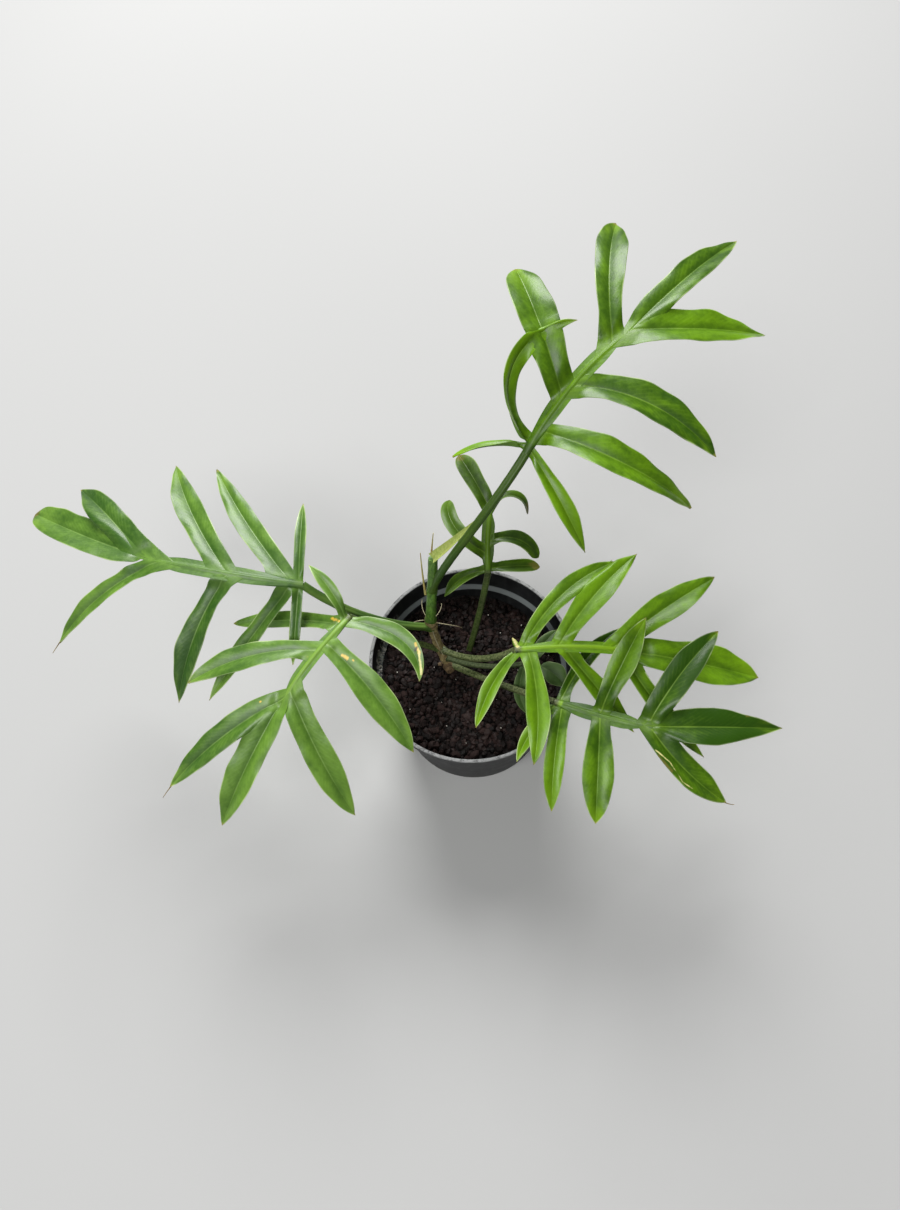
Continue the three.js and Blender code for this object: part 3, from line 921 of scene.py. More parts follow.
@dataclass(frozen=True)
class FibreFinish:
    """A dry or woody surface with fibres along it and bands across it."""

    name: str
    low: Colour
    high: Colour
    band: Colour
    band_pitch: float
    roughness: float = 0.7
    coat: float = 0.0
    coat_roughness: float = 0.3
    fibre_size: float = 1.3
    fibre_stretch: float = 0.18
    patch_size: float = 7.0

    def material(self) -> bpy.types.Material:
        """Builds the material.

        Returns:
            The material.
        """
        paint = Painter(self.name)
        place = paint.position()
        _, along, _ = paint.trait("blade")
        fibres = paint.noise(paint.stretched(self.fibre_stretch), self.fibre_size, 4.0, 0.65)
        patches = paint.noise(place, self.patch_size, 3.0)
        body = paint.mix(fibres.ease(0.25, 0.75), self.low, self.high)
        wave = paint.math("SINE", (along + (patches - 0.5) * 3.0) * (TURN / self.band_pitch))
        rings = wave.ease(0.72, 0.98)
        body = paint.mix(rings * patches.ease(0.3, 0.6) * 0.7, body, self.band)
        body = paint.mix(patches.ease(0.55, 0.8) * 0.4, body, self.band)
        rough = self.roughness + (fibres - 0.5) * 0.2
        height = fibres * 0.18 + rings * 0.12
        gloss = {"Coat_Weight": self.coat, "Coat_Roughness": self.coat_roughness}
        return paint.finish(body, rough, height, **gloss)


@dataclass(frozen=True)
class SpeckFinish:
    """A plain mineral or dried surface with a fine grain."""

    name: str
    low: Colour
    high: Colour
    roughness: float = 0.8
    grain_size: float = 1.4

    def material(self) -> bpy.types.Material:
        """Builds the material.

        Returns:
            The material.
        """
        paint = Painter(self.name)
        grain = paint.noise(paint.position(), self.grain_size, 4.0, 0.6)
        body = paint.mix(grain.ease(0.3, 0.7), self.low, self.high)
        return paint.finish(body, self.roughness + (grain - 0.5) * 0.2, grain * 0.1)


class Bench:
    """Shapes pieces with Blender's modelling operators."""

    MERGE = 1e-6
    DEGENERATE = 1e-7

    @staticmethod
    def clear() -> None:
        """Leaves edit mode and deselects everything."""
        if bpy.context.object and bpy.context.object.mode != "OBJECT":
            bpy.ops.object.mode_set(mode="OBJECT")
        bpy.ops.object.select_all(action="DESELECT")

    @classmethod
    def pick(cls, pieces: list[bpy.types.Object]) -> None:
        """Selects pieces alone and makes the first one active.

        Args:
            pieces: The pieces.
        """
        cls.clear()
        for piece in pieces:
            piece.select_set(True)
        bpy.context.view_layer.objects.active = pieces[0]

    @staticmethod
    def edit() -> None:
        """Starts to edit the whole of the active piece."""
        bpy.ops.object.mode_set(mode="EDIT")
        bpy.ops.mesh.select_all(action="SELECT")

    @staticmethod
    def face_outwards() -> None:
        """Turns the edited piece's faces outwards and ends the editing."""
        bpy.ops.mesh.select_all(action="SELECT")
        bpy.ops.mesh.normals_make_consistent(inside=False)
        bpy.ops.object.mode_set(mode="OBJECT")

    @staticmethod
    def places(piece: bpy.types.Object) -> np.ndarray:
        """Reads the places of a piece's corners.

        Args:
            piece: The piece.

        Returns:
            The places, in metres.
        """
        flat = np.empty(len(piece.data.vertices) * 3, np.float32)
        piece.data.vertices.foreach_get("co", flat)
        return flat.reshape(-1, 3)

    @staticmethod
    def shape(piece: bpy.types.Object, points: np.ndarray) -> None:
        """Moves a piece's corners to points in millimetres."""
        piece.data.vertices.foreach_set("co", (points * MM).astype(np.float32).ravel())
        piece.data.update()

    @staticmethod
    def mark(piece: bpy.types.Object, name: str, values: np.ndarray) -> None:
        """Gives a piece a vector attribute with a value at each corner."""
        attribute = piece.data.attributes.new(name, "FLOAT_VECTOR", "POINT")
        attribute.data.foreach_set("vector", values.astype(np.float32).ravel())

    @classmethod
    def grid(cls, columns: int, rows: int, size: float) -> bpy.types.Object:
        """Adds a flat square grid of faces round the origin.

        Args:
            columns: The number of faces along X.
            rows: The number of faces along Y.
            size: The length of its sides, in metres.

        Returns:
            The grid.
        """
        cls.clear()
        bpy.ops.mesh.primitive_grid_add(
            x_subdivisions=columns, y_subdivisions=rows, size=size, location=(0, 0, 0)
        )
        return bpy.context.object

    @classmethod
    def rolled(cls, rings: np.ndarray, looks: dict[str, np.ndarray]) -> bpy.types.Object:
        """Rolls a grid into a closed skin through cross-sections, and closes both ends.

        Args:
            rings: Points in millimetres, as sections by points around by three.
            looks: Vector attributes of the same shape.

        Returns:
            The piece.
        """
        rows, around, _ = rings.shape
        piece = cls.grid(around, rows - 1, 1.0)
        places = cls.places(piece)
        column = np.rint((places[:, 0] + 0.5) * around).astype(int) % around
        row = np.rint((places[:, 1] + 0.5) * (rows - 1)).astype(int)
        cls.shape(piece, rings[row, column])
        for name, values in looks.items():
            cls.mark(piece, name, values[row, column])
        cls.edit()
        bpy.ops.mesh.remove_doubles(threshold=cls.MERGE)
        bpy.ops.mesh.fill_holes(sides=0)
        cls.face_outwards()
        return piece

    @classmethod
    def lathed(cls, outline: list[tuple[float, float]], steps: int) -> bpy.types.Object:
        """Spins a closed outline about the pot's axis.

        Args:
            outline: Radii and heights in millimetres, round the section once.
            steps: The number of steps in a full turn.

        Returns:
            The piece.
        """
        cls.clear()
        bpy.ops.mesh.primitive_circle_add(vertices=len(outline), radius=1.0, fill_type="NOTHING")
        piece = bpy.context.object
        for vertex, (radius, height) in zip(piece.data.vertices, outline):
            vertex.co = (radius * MM, 0.0, height * MM)
        cls.edit()
        bpy.ops.mesh.spin(steps=steps, angle=TURN, center=(0, 0, 0), axis=(0, 0, 1))
        bpy.ops.mesh.select_all(action="SELECT")
        bpy.ops.mesh.remove_doubles(threshold=cls.MERGE)
        bpy.ops.mesh.dissolve_degenerate(threshold=cls.DEGENERATE)
        bpy.ops.mesh.delete_loose()
        cls.face_outwards()
        return piece

    @classmethod
    def balls(cls, level: int, count: int) -> tuple[bpy.types.Object, np.ndarray, int]:
        """Models a ball and doubles it within its own mesh until there are enough.

        Args:
            level: How finely the ball is divided.
            count: The least number of balls.

        Returns:
            The piece, the corners of one ball, and the number of balls, which is a power of 2.
        """
        cls.clear()
        bpy.ops.mesh.primitive_ico_sphere_add(subdivisions=level, radius=1.0, location=(0, 0, 0))
        piece = bpy.context.object
        ball = cls.places(piece).astype(float)
        copies = 1
        bpy.ops.object.mode_set(mode="EDIT")
        while copies < count:
            bpy.ops.mesh.select_all(action="SELECT")
            bpy.ops.mesh.duplicate()
            copies *= 2
        bpy.ops.object.mode_set(mode="OBJECT")
        return piece, ball, copies

    @classmethod
    def joined(cls, name: str, pieces: list[bpy.types.Object]) -> bpy.types.Object:
        """Joins pieces into one.

        Args:
            name: The name of the whole.
            pieces: The pieces; the first takes in the others.

        Returns:
            The whole.
        """
        cls.pick(pieces)
        if len(pieces) > 1:
            bpy.ops.object.join()
        pieces[0].name = name
        pieces[0].data.name = name
        return pieces[0]


def settle(
    name: str,
    parts: list[bpy.types.Object],
    material: bpy.types.Material,
    slot: str,
    *nodes: str,
    sharp_past: float,
) -> None:
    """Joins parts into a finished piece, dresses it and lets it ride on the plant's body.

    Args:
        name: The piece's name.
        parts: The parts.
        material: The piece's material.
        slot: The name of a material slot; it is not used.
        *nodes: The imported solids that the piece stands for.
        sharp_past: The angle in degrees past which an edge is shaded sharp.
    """
    piece = Bench.joined(name, parts)
    Bench.pick([piece])
    bpy.ops.object.shade_smooth_by_angle(angle=math.radians(sharp_past))
    piece.data.materials.clear()
    piece.data.materials.append(material)
    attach(piece, BODY)
    if nodes:
        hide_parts(*nodes)
    faces = len(piece.data.polygons)
    LOG.info("%s: %d faces, stands for %s", piece.name, faces, ", ".join(nodes) or "no solid")


@dataclass
class Stalk:
    """A round stalk along a run, such as a petiole, a stem or a root."""

    start: np.ndarray
    run: Run
    radius: float
    sides: int = 20
    row_pitch: float = 2.5
    foot_swell: float = 0.0
    foot_reach: float = 8.0
    taper: float = 1.0
    channel: float = 0.0
    channel_width: float = 0.45
    lumps: float = 0.0
    seed: int = 0
    woody: float = 0.5

    def piece(self, swells: tuple[tuple[float, float, float], ...] = ()) -> bpy.types.Object:
        """Models the stalk.

        Args:
            swells: Rings that stand out, each as its distance, its height and its reach.

        Returns:
            The piece.
        """
        least_rows, wave_count, wave_rate = 5, 3.0, 0.6
        rows = max(least_rows, int(self.run.length / self.row_pitch))
        shares = np.linspace(0.0, 1.0, rows)
        rail = Rail.along(self.start, self.run, shares)
        draw = np.random.default_rng(self.seed)
        along = (shares * self.run.length)[:, None]
        radii = self.radius * (1.0 + (self.taper - 1.0) * shares[:, None])
        radii = radii * (1.0 + self.foot_swell * (1.0 - smooth(along, 0.0, self.foot_reach)))
        for place, rise, reach in swells:
            radii = radii + rise * np.exp(-(((along - place) / reach) ** 2))
        angles = (np.arange(self.sides) * 2.0 * math.pi / self.sides)[None, :]
        wobble = 1.0 + self.lumps * draw.normal(size=(rows, self.sides)) * 0.5
        wobble = wobble + self.lumps * np.sin(wave_count * angles + along * wave_rate)
        sideways = np.cos(angles) * radii * wobble
        outwards = np.sin(angles) * radii * wobble
        hollow = self.channel * radii * np.exp(-((np.cos(angles) / self.channel_width) ** 2))
        outwards = outwards - np.where(np.sin(angles) > 0.0, hollow, 0.0)
        growth = (shares[:, None], self.woody, Part.PETIOLE.value)
        looks = traits((sideways, along, WELL_INSIDE), growth, 1.0)
        return Bench.rolled(rail.skin(sideways, outwards), looks)


@dataclass(frozen=True)
class Sheet:
    """The folded surface on both sides of a midrib, and how strongly it draws the blade to it."""

    rail: Rail
    halves: np.ndarray
    strengths: np.ndarray
    fold: float
    fold_power: float = 1.08
    narrowness: float = 2.2
    reach: float = 9.0

    def pull(self, points: np.ndarray) -> tuple[np.ndarray, np.ndarray, np.ndarray, np.ndarray]:
        """Finds how the sheet draws points to its surface.

        Args:
            points: The points.

        Returns:
            For each point the sheet's weight, the vector to its surface, its upward vector, and
            how far inside its outline the point is.
        """
        gaps = points[..., None, :] - self.rail.points
        nearest = np.einsum("...i,...i->...", gaps, gaps).argmin(axis=-1)
        gap = np.take_along_axis(gaps, nearest[..., None, None], axis=-2)[..., 0, :]
        half = self.halves[nearest]
        outs = self.rail.outs[nearest]
        rise = np.einsum("...i,...i->...", gap, outs)
        aside = np.linalg.norm(gap - outs * rise[..., None], axis=-1)
        lift = self.fold * half * (aside / half) ** self.fold_power
        closeness = -self.narrowness * (aside / half) ** 2 - (rise / self.reach) ** 2
        weight = self.strengths[nearest] * np.exp(closeness)
        return weight, outs * (lift - rise)[..., None], outs, half - aside


@dataclass
class Leaf:
    """One whole leaf: petiole, rachis and lobes, made as one piece.

    The shares say where the points of a lobe's section lie, from its midrib to its margin.
    """

    plan: LeafPlan
    seed: int
    web_blend: float = 0.22
    fold: float = 0.27
    fold_power: float = 1.08
    camber: float = 0.06
    thickness: float = 0.84
    rim: float = 0.36
    wave: float = 0.045
    frill: float = 0.02
    frill_pitch: float = 24.0
    edge_wave: float = 0.045
    edge_frill: float = 0.008
    groove: float = 0.2
    quilt: float = 0.045
    rib: float = 1.15
    wing_reach: float = 1.5
    vein_pitch: float = 5.5
    vein_slant: float = 1.6
    rows_for_each_mm: float = 0.62
    rachis_pitch: float = 1.6
    rachis_strength: float = 2.5
    petiole_swell: float = 0.45
    top_shares: tuple[float, ...] = (0.05, 0.12, 0.22, 0.36, 0.52, 0.68, 0.83, 0.94, 0.985)
    under_shares: tuple[float, ...] = (0.07, 0.16, 0.4, 0.7, 0.93)

    def __post_init__(self) -> None:
        """Works out where the petiole and the blade start."""
        self.draw = np.random.default_rng(self.seed)
        self.foot = self._foot()
        self.base = self.plan.petiole.point(self.foot, self.plan.petiole.length)
        self.sheets = self._sheets()

    def _foot(self) -> np.ndarray:
        """Finds the foot of the petiole.

        Returns:
            The point on its carrier that it grows from.
        """
        if self.plan.carrier is Carrier.SOIL:
            return SMALL_LEAF_FOOT
        if self.plan.carrier is Carrier.SHOOT:
            return SHOOT_RUN.point(STEM_NODE, self.plan.at)
        return STEM_RUN.point(STEM_SOIL_POINT, self.plan.at)

    def _rail(self, lobe: Lobe, shares: np.ndarray) -> Rail:
        """Sets stations out along a lobe's midrib."""
        root = self.plan.rachis.point(self.base, lobe.at)
        return Rail.along(root, lobe.run, shares, lobe.roll)

    def _around(self) -> tuple[np.ndarray, np.ndarray]:
        """Sets out the points round a lobe's section.

        Returns:
            Their shares across, from -1 at the left to 1 at the right, and the face they are on:
            1 for the upper, -1 for the under and 0 for the margin.
        """
        top = np.array(self.top_shares)
        under = np.array(self.under_shares)
        upper = np.concatenate((-top[::-1], [0.0], top))
        lower = np.concatenate((under[::-1], [0.0], -under))
        shares = np.concatenate((upper, [1.0], lower, [-1.0]))
        faces = np.concatenate((np.ones(len(upper)), [0.0], -np.ones(len(lower)), [0.0]))
        return shares[None, :], faces[None, :]

    def _sheets(self) -> list[Sheet]:
        """Lists the rachis and the lobes as the sheets that the blade's surface is blended from.

        Returns:
            The sheets, the rachis first.
        """
        stations = 90
        shares = np.linspace(0.0, 1.0, stations)
        rail = Rail.along(self.base, self.plan.rachis, shares)
        flat = np.full(stations, self.plan.wing / 2.0 + self.wing_reach)
        sheets = [Sheet(rail, flat, np.full(stations, self.rachis_strength), 0.0)]
        strengths = smooth(shares, 0.02, 0.16)
        for lobe in self.plan.lobes:
            halves = lobe.widths(shares) / 2.0
            sheets.append(Sheet(self._rail(lobe, shares), halves, strengths, self.fold, self.fold_power))
        return sheets

    def _blended(self, points: np.ndarray, normals: np.ndarray, number: int) -> tuple[np.ndarray, ...]:
        """Draws a lobe's points to one surface with the rachis and the lobes that it runs into.

        Args:
            points: Points of the lobe.
            normals: The upward vectors there.
            number: The lobe's number among the sheets.

        Returns:
            The moved points, the blended upward vectors, and how much to add to the distance from
            a free edge, as a margin that runs into the rest of the blade is none.
        """
        total = np.zeros(points.shape[:-1])
        shift = np.zeros_like(points)
        upward = np.zeros_like(points)
        inside = np.zeros_like(total)
        for index, sheet in enumerate(self.sheets):
            weight, correction, normal, depth = sheet.pull(points)
            if index == number:
                correction, normal = np.zeros_like(points), normals
            else:
                inside = np.maximum(inside, smooth(depth, -1.2, 0.8))
            total += weight
            shift += weight[..., None] * correction
            upward += weight[..., None] * normal
        total = np.maximum(total, TINY)[..., None]
        return points + shift / total, unit(upward), WELL_INSIDE * inside

    def _tied(self, lobe: Lobe, rail: Rail, across: np.ndarray) -> tuple[np.ndarray, np.ndarray]:
        """Ties a lobe's sections to the rachis, as its web is.

        Args:
            lobe: The lobe's plan.
            rail: The stations of its midrib.
            across: Shares across its sections.

        Returns:
            The tied points, and how far it is from the midrib to where each side is tied.
        """
        rachis = self.plan.rachis
        back = rachis.point(self.base, lobe.at - lobe.back)
        fore = rachis.point(self.base, lobe.at + lobe.fore)
        fore_is_right = (rail.rights @ (fore - back) > 0.0)[:, None]
        anchor = np.where(((across >= 0.0) == fore_is_right)[..., None], fore, back)
        reach = anchor - rail.points[:, None, :]
        tied = rail.points[:, None, :] + reach * np.abs(across)[..., None]
        return tied, np.linalg.norm(reach, axis=-1)

    def lobe(self, lobe: Lobe) -> bpy.types.Object:
        """Models one lobe, from its web along the rachis to its tip.

        Args:
            lobe: The lobe's plan.

        Returns:
            The piece.
        """
        least_rows, most_rows, crowding = 24, 78, 0.07
        groove_width, rib_width, rib_loss = 1.9, 1.1, 0.95
        slowest, fastest, tone_range = 0.9, 1.6, 0.25
        rows = int(np.clip(lobe.run.length * self.rows_for_each_mm, least_rows, most_rows))
        even = np.linspace(0.0, 1.0, rows)
        shares = even - crowding * np.sin(TURN * even)
        t = shares[:, None]
        s, face = self._around()
        size = np.abs(s)
        rail = self._rail(lobe, shares)
        half = lobe.widths(t) / 2.0
        web = 1.0 - smooth(t, 0.0, self.web_blend)

        beat = self.draw.uniform(slowest, fastest, 2)
        phase = self.draw.uniform(0.0, 1.0, 2)
        left, right = (np.sin(TURN * (beat[i] * t + phase[i])) for i in (0, 1))
        swing = np.where(s < 0.0, left, right)
        free_part = smooth(t, 0.12, 0.4)
        frill = np.sin(TURN * (lobe.run.length / self.frill_pitch * t + phase[0] + 0.5 * np.sign(s)))
        wave = lobe.width * size**2.2 * (self.wave * swing + self.frill * frill) * free_part
        camber = self.camber * half * np.sin(math.pi * size)
        lift = self.fold * half * size**self.fold_power + wave + camber
        bulge = 1.0 + (self.edge_wave * np.roll(swing, 1, 1) + self.edge_frill * frill) * free_part
        free = rail.skin(s * half * bulge, lift)
        tied, width_here = self._tied(lobe, rail, s)
        points = free + (tied - free) * web[..., None]
        outs = np.broadcast_to(rail.outs[:, None, :], points.shape)
        points, normal, hidden = self._blended(points, outs, 1 + self.plan.lobes.index(lobe))

        width_here = width_here * web + half * (1.0 - web)
        span = size * width_here
        along = t * lobe.run.length
        thickness = (self.thickness + (self.rim - self.thickness) * size**3) / 2.0
        fade = 1.0 - smooth(t, 0.75, 1.0)
        groove = self.groove * np.exp(-((span / groove_width) ** 2)) * fade
        quilt = self.quilt * np.sin(TURN * (along - self.vein_slant * span) / self.vein_pitch)
        quilt = quilt * np.sin(math.pi * size) * free_part * fade
        rib = (self.rib - rib_loss * t) * np.exp(-((span / rib_width) ** 2))
        upper = thickness - groove + quilt
        height = np.where(face > 0.0, upper, np.where(face < 0.0, -thickness - rib, 0.0))

        margin = width_here * (1.0 - size) + hidden
        # lobe.bright is partly painted light: it lifts lobes that face away from the key lamp
        tone = lobe.bright + self.draw.uniform(-tone_range, tone_range)
        growth = (t, self.plan.tone + tone * smooth(t, 0.05, 0.5), Part.LOBE.value)
        looks = traits((s * width_here, along, margin), growth, np.where(face >= 0.0, 1.0, 0.0))
        return Bench.rolled(points + normal * height[..., None], looks)

    def rachis(self) -> bpy.types.Object:
        """Models the winged rachis, which starts round as the petiole is.

        Returns:
            The piece.
        """
        plan = self.plan
        least_rows, upper_points = 14, 21
        ridge_least, ridge_rise, ridge_reach = 0.12, 1.15, 2.1
        keel_least, keel_foot, keel_loss, keel_power = 0.28, 2.3, 1.5, 1.5
        rows = max(least_rows, int(plan.rachis.length / self.rachis_pitch))
        shares = np.linspace(0.0, 1.0, rows)
        t = shares[:, None]
        rail = Rail.along(self.base, plan.rachis, shares)
        spread = smooth(t, 0.0, 0.35)
        ending = 1.0 - 0.8 * smooth(t, 0.7, 1.0)
        half = (plan.radius + (plan.wing / 2.0 - plan.radius) * spread) * ending
        even = np.linspace(-1.0, 1.0, upper_points)
        top = np.sin(even * math.pi / 2.0) * 0.6 + even * 0.4
        across = np.concatenate((top, top[-2:0:-1]))[None, :]
        face = np.concatenate((np.ones(upper_points), -np.ones(upper_points - 2)))[None, :]
        size = np.abs(across)
        bow = plan.radius * np.sqrt(np.maximum(0.0, 1.0 - size**2))
        crest = (1.0 - smooth(size * half, 0.2, ridge_reach)) * (1.0 - 0.85 * smooth(t, 0.55, 1.0))
        ridge = ridge_least + ridge_rise * crest
        keel = keel_least + (keel_foot - keel_loss * t) * np.cos(math.pi / 2.0 * size) ** keel_power
        upper = bow * 0.8 * (1.0 - spread) + ridge * spread
        lower = bow * (1.0 - spread) + keel * spread
        height = np.where(face > 0.0, upper, -lower)
        aside = across * half

        tone = plan.woody + (plan.tone - plan.woody) * smooth(t, 0.04, 0.12)
        change = Part.RACHIS.value - Part.PETIOLE.value
        growth = (t, tone, Part.PETIOLE.value + change * smooth(t, 0.0, 0.1))
        side = np.where(face > 0.0, 1.0, 0.0)
        looks = traits((aside, t * plan.rachis.length, WELL_INSIDE), growth, side)
        return Bench.rolled(rail.skin(aside, height), looks)

    def build(self) -> None:
        """Models the whole leaf and dresses it."""
        plan = self.plan
        swell = 0.0 if plan.carrier is Carrier.SOIL else self.petiole_swell
        petiole = Stalk(
            self.foot, plan.petiole, plan.radius, foot_swell=swell, channel=0.28, lumps=0.012,
            seed=self.seed, woody=plan.woody,
        )
        parts = [self.rachis(), petiole.piece()]
        parts.extend(self.lobe(lobe) for lobe in plan.lobes)
        slot = "leaf_dull" if plan.grade is Grade.DULL else "leaf"
        settle(plan.name + "_skin", parts, self.material(), slot, plan.name, sharp_past=62.0)

    def tip(self, number: int) -> tuple[np.ndarray, Run]:
        """Gives the point of a numbered lobe's tip, and the lobe's run."""
        lobe = self.plan.lobes[number]
        return self._rail(lobe, np.ones(1)).points[0], lobe.run

    def _spot(self, number: int, along: float, right: float) -> tuple[float, ...]:
        """Finds a place on a lobe's upper face.

        Args:
            number: The lobe's number.
            along: How far along its midrib.
            right: How far to the right of it.

        Returns:
            The place on the plant.
        """
        lobe = self.plan.lobes[number]
        rail = self._rail(lobe, np.array([along / lobe.run.length]))
        rise = self.fold * abs(right) + self.thickness / 2.0
        return tuple((rail.points[0] + rail.rights[0] * right + rail.outs[0] * rise).tolist())

    def material(self) -> bpy.types.Material:
        """Builds the leaf's material, or takes up its grade's if it has no blemishes.

        Returns:
            The material.
        """
        finish = LEAF_FINISHES[self.plan.grade]
        if not self.plan.blemishes:
            return bpy.data.materials.get(finish.name) or finish.material()
        streaks = []
        for mark in self.plan.blemishes:
            ends = (self._spot(mark.lobe, *end) for end in (mark.start, mark.end))
            streaks.append(Streak(mark.stain, *ends, mark.radius))
        return replace(finish, name=self.plan.name + "_blade", streaks=tuple(streaks)).material()


@dataclass
class Stem:
    """The woody stem, the green shoot on it and the sheath that opens from its top."""

    leaf_places: tuple[float, ...] = (1.0, 10.0, 20.5, 45.0)
    ring_rise: float = 0.75
    ring_reach: float = 1.6
    top_reach: float = 3.4
    cap_run: Run = Run(4.4, 106, 56)
    sheath_width: float = 7.5
    sheath_roll: float = 20.0

    def build(self) -> None:
        """Models and dresses the stem, the shoot and the sheath."""
        self._wood()
        self._shoot()
        self._sheath()

    def _wood(self) -> None:
        """Models the stem with its rings, its swollen top and its buried foot."""
        rings = tuple((place, self.ring_rise, self.ring_reach) for place in self.leaf_places)
        top = (STEM_RUN.length - 0.5, NODE_RADIUS - STEM_RADIUS, self.top_reach)
        above = Stalk(STEM_SOIL_POINT, STEM_RUN, STEM_RADIUS, 28, 0.9, lumps=0.035, seed=3)
        below = Stalk(STEM_SOIL_POINT, STEM_BURIED_RUN, STEM_RADIUS + 0.3, lumps=0.05, seed=4)
        cap = Stalk(STEM_NODE, self.cap_run, NODE_RADIUS, 28, 0.6, taper=0.75, lumps=0.03, seed=5)
        parts = [above.piece((*rings, top)), below.piece(), cap.piece()]
        bark = FibreFinish("stem_bark", tint(106, 90, 54), tint(170, 154, 106), tint(86, 66, 42), 6.5)
        settle("stem_bark", parts, bark.material(), "stem", "stem", sharp_past=70.0)

    def _shoot(self) -> None:
        """Models the shoot, which narrows towards its top."""
        shoot = Stalk(
            STEM_NODE, SHOOT_RUN, SHOOT_RADIUS, sides=32, row_pitch=1.5,
            foot_swell=0.08, taper=0.86, channel=0.1, lumps=0.02, seed=6,
        )
        swells = ((3.0, 0.5, 1.2), (35.0, 0.5, 3.0))
        green = FibreFinish(
            "shoot_green", tint(40, 72, 16), tint(96, 138, 44), tint(66, 96, 30),
            band_pitch=17.0, roughness=0.42, coat=0.15,
        )
        settle("shoot_skin", [shoot.piece(swells)], green.material(), "shoot", "shoot", sharp_past=70.0)

    def _sheath(self) -> None:
        """Models the sheath as a narrow folded blade."""
        rows, side_points = 40, 15
        least_half, fold, fold_power, upper_skin = 0.35, 0.6, 1.4, 0.25
        shares = np.linspace(0.0, 1.0, rows)
        t = shares[:, None]
        start = SHOOT_TOP + UP * SHOOT_RADIUS * 0.2
        rail = Rail.along(start, SHEATH_RUN, shares, self.sheath_roll)
        half = np.maximum(least_half, self.sheath_width * (1.0 - t**1.5) / 2.0)
        top = np.linspace(-1.0, 1.0, side_points)
        across = np.concatenate((top, top[::-1]))[None, :]
        face = np.concatenate((np.ones(side_points), -np.ones(side_points)))[None, :]
        size = np.abs(across)
        sheet = 0.42 - 0.2 * size**2 + (1.0 - t) * 0.5 * (1.0 - size)
        height = fold * half * size**fold_power + np.where(face > 0.0, upper_skin, -sheet)
        aside = across * half
        looks = traits((aside, t * SHEATH_RUN.length, 0.0), (t, t, t), t)
        sheath = Bench.rolled(rail.skin(aside, height), looks)
        pale = FibreFinish(
            "sheath_pale", tint(146, 164, 70), tint(190, 202, 118), tint(172, 178, 96),
            band_pitch=60.0, roughness=0.5,
        )
        settle("sheath_skin", [sheath], pale.material(), "sheath", "sheath", sharp_past=60.0)


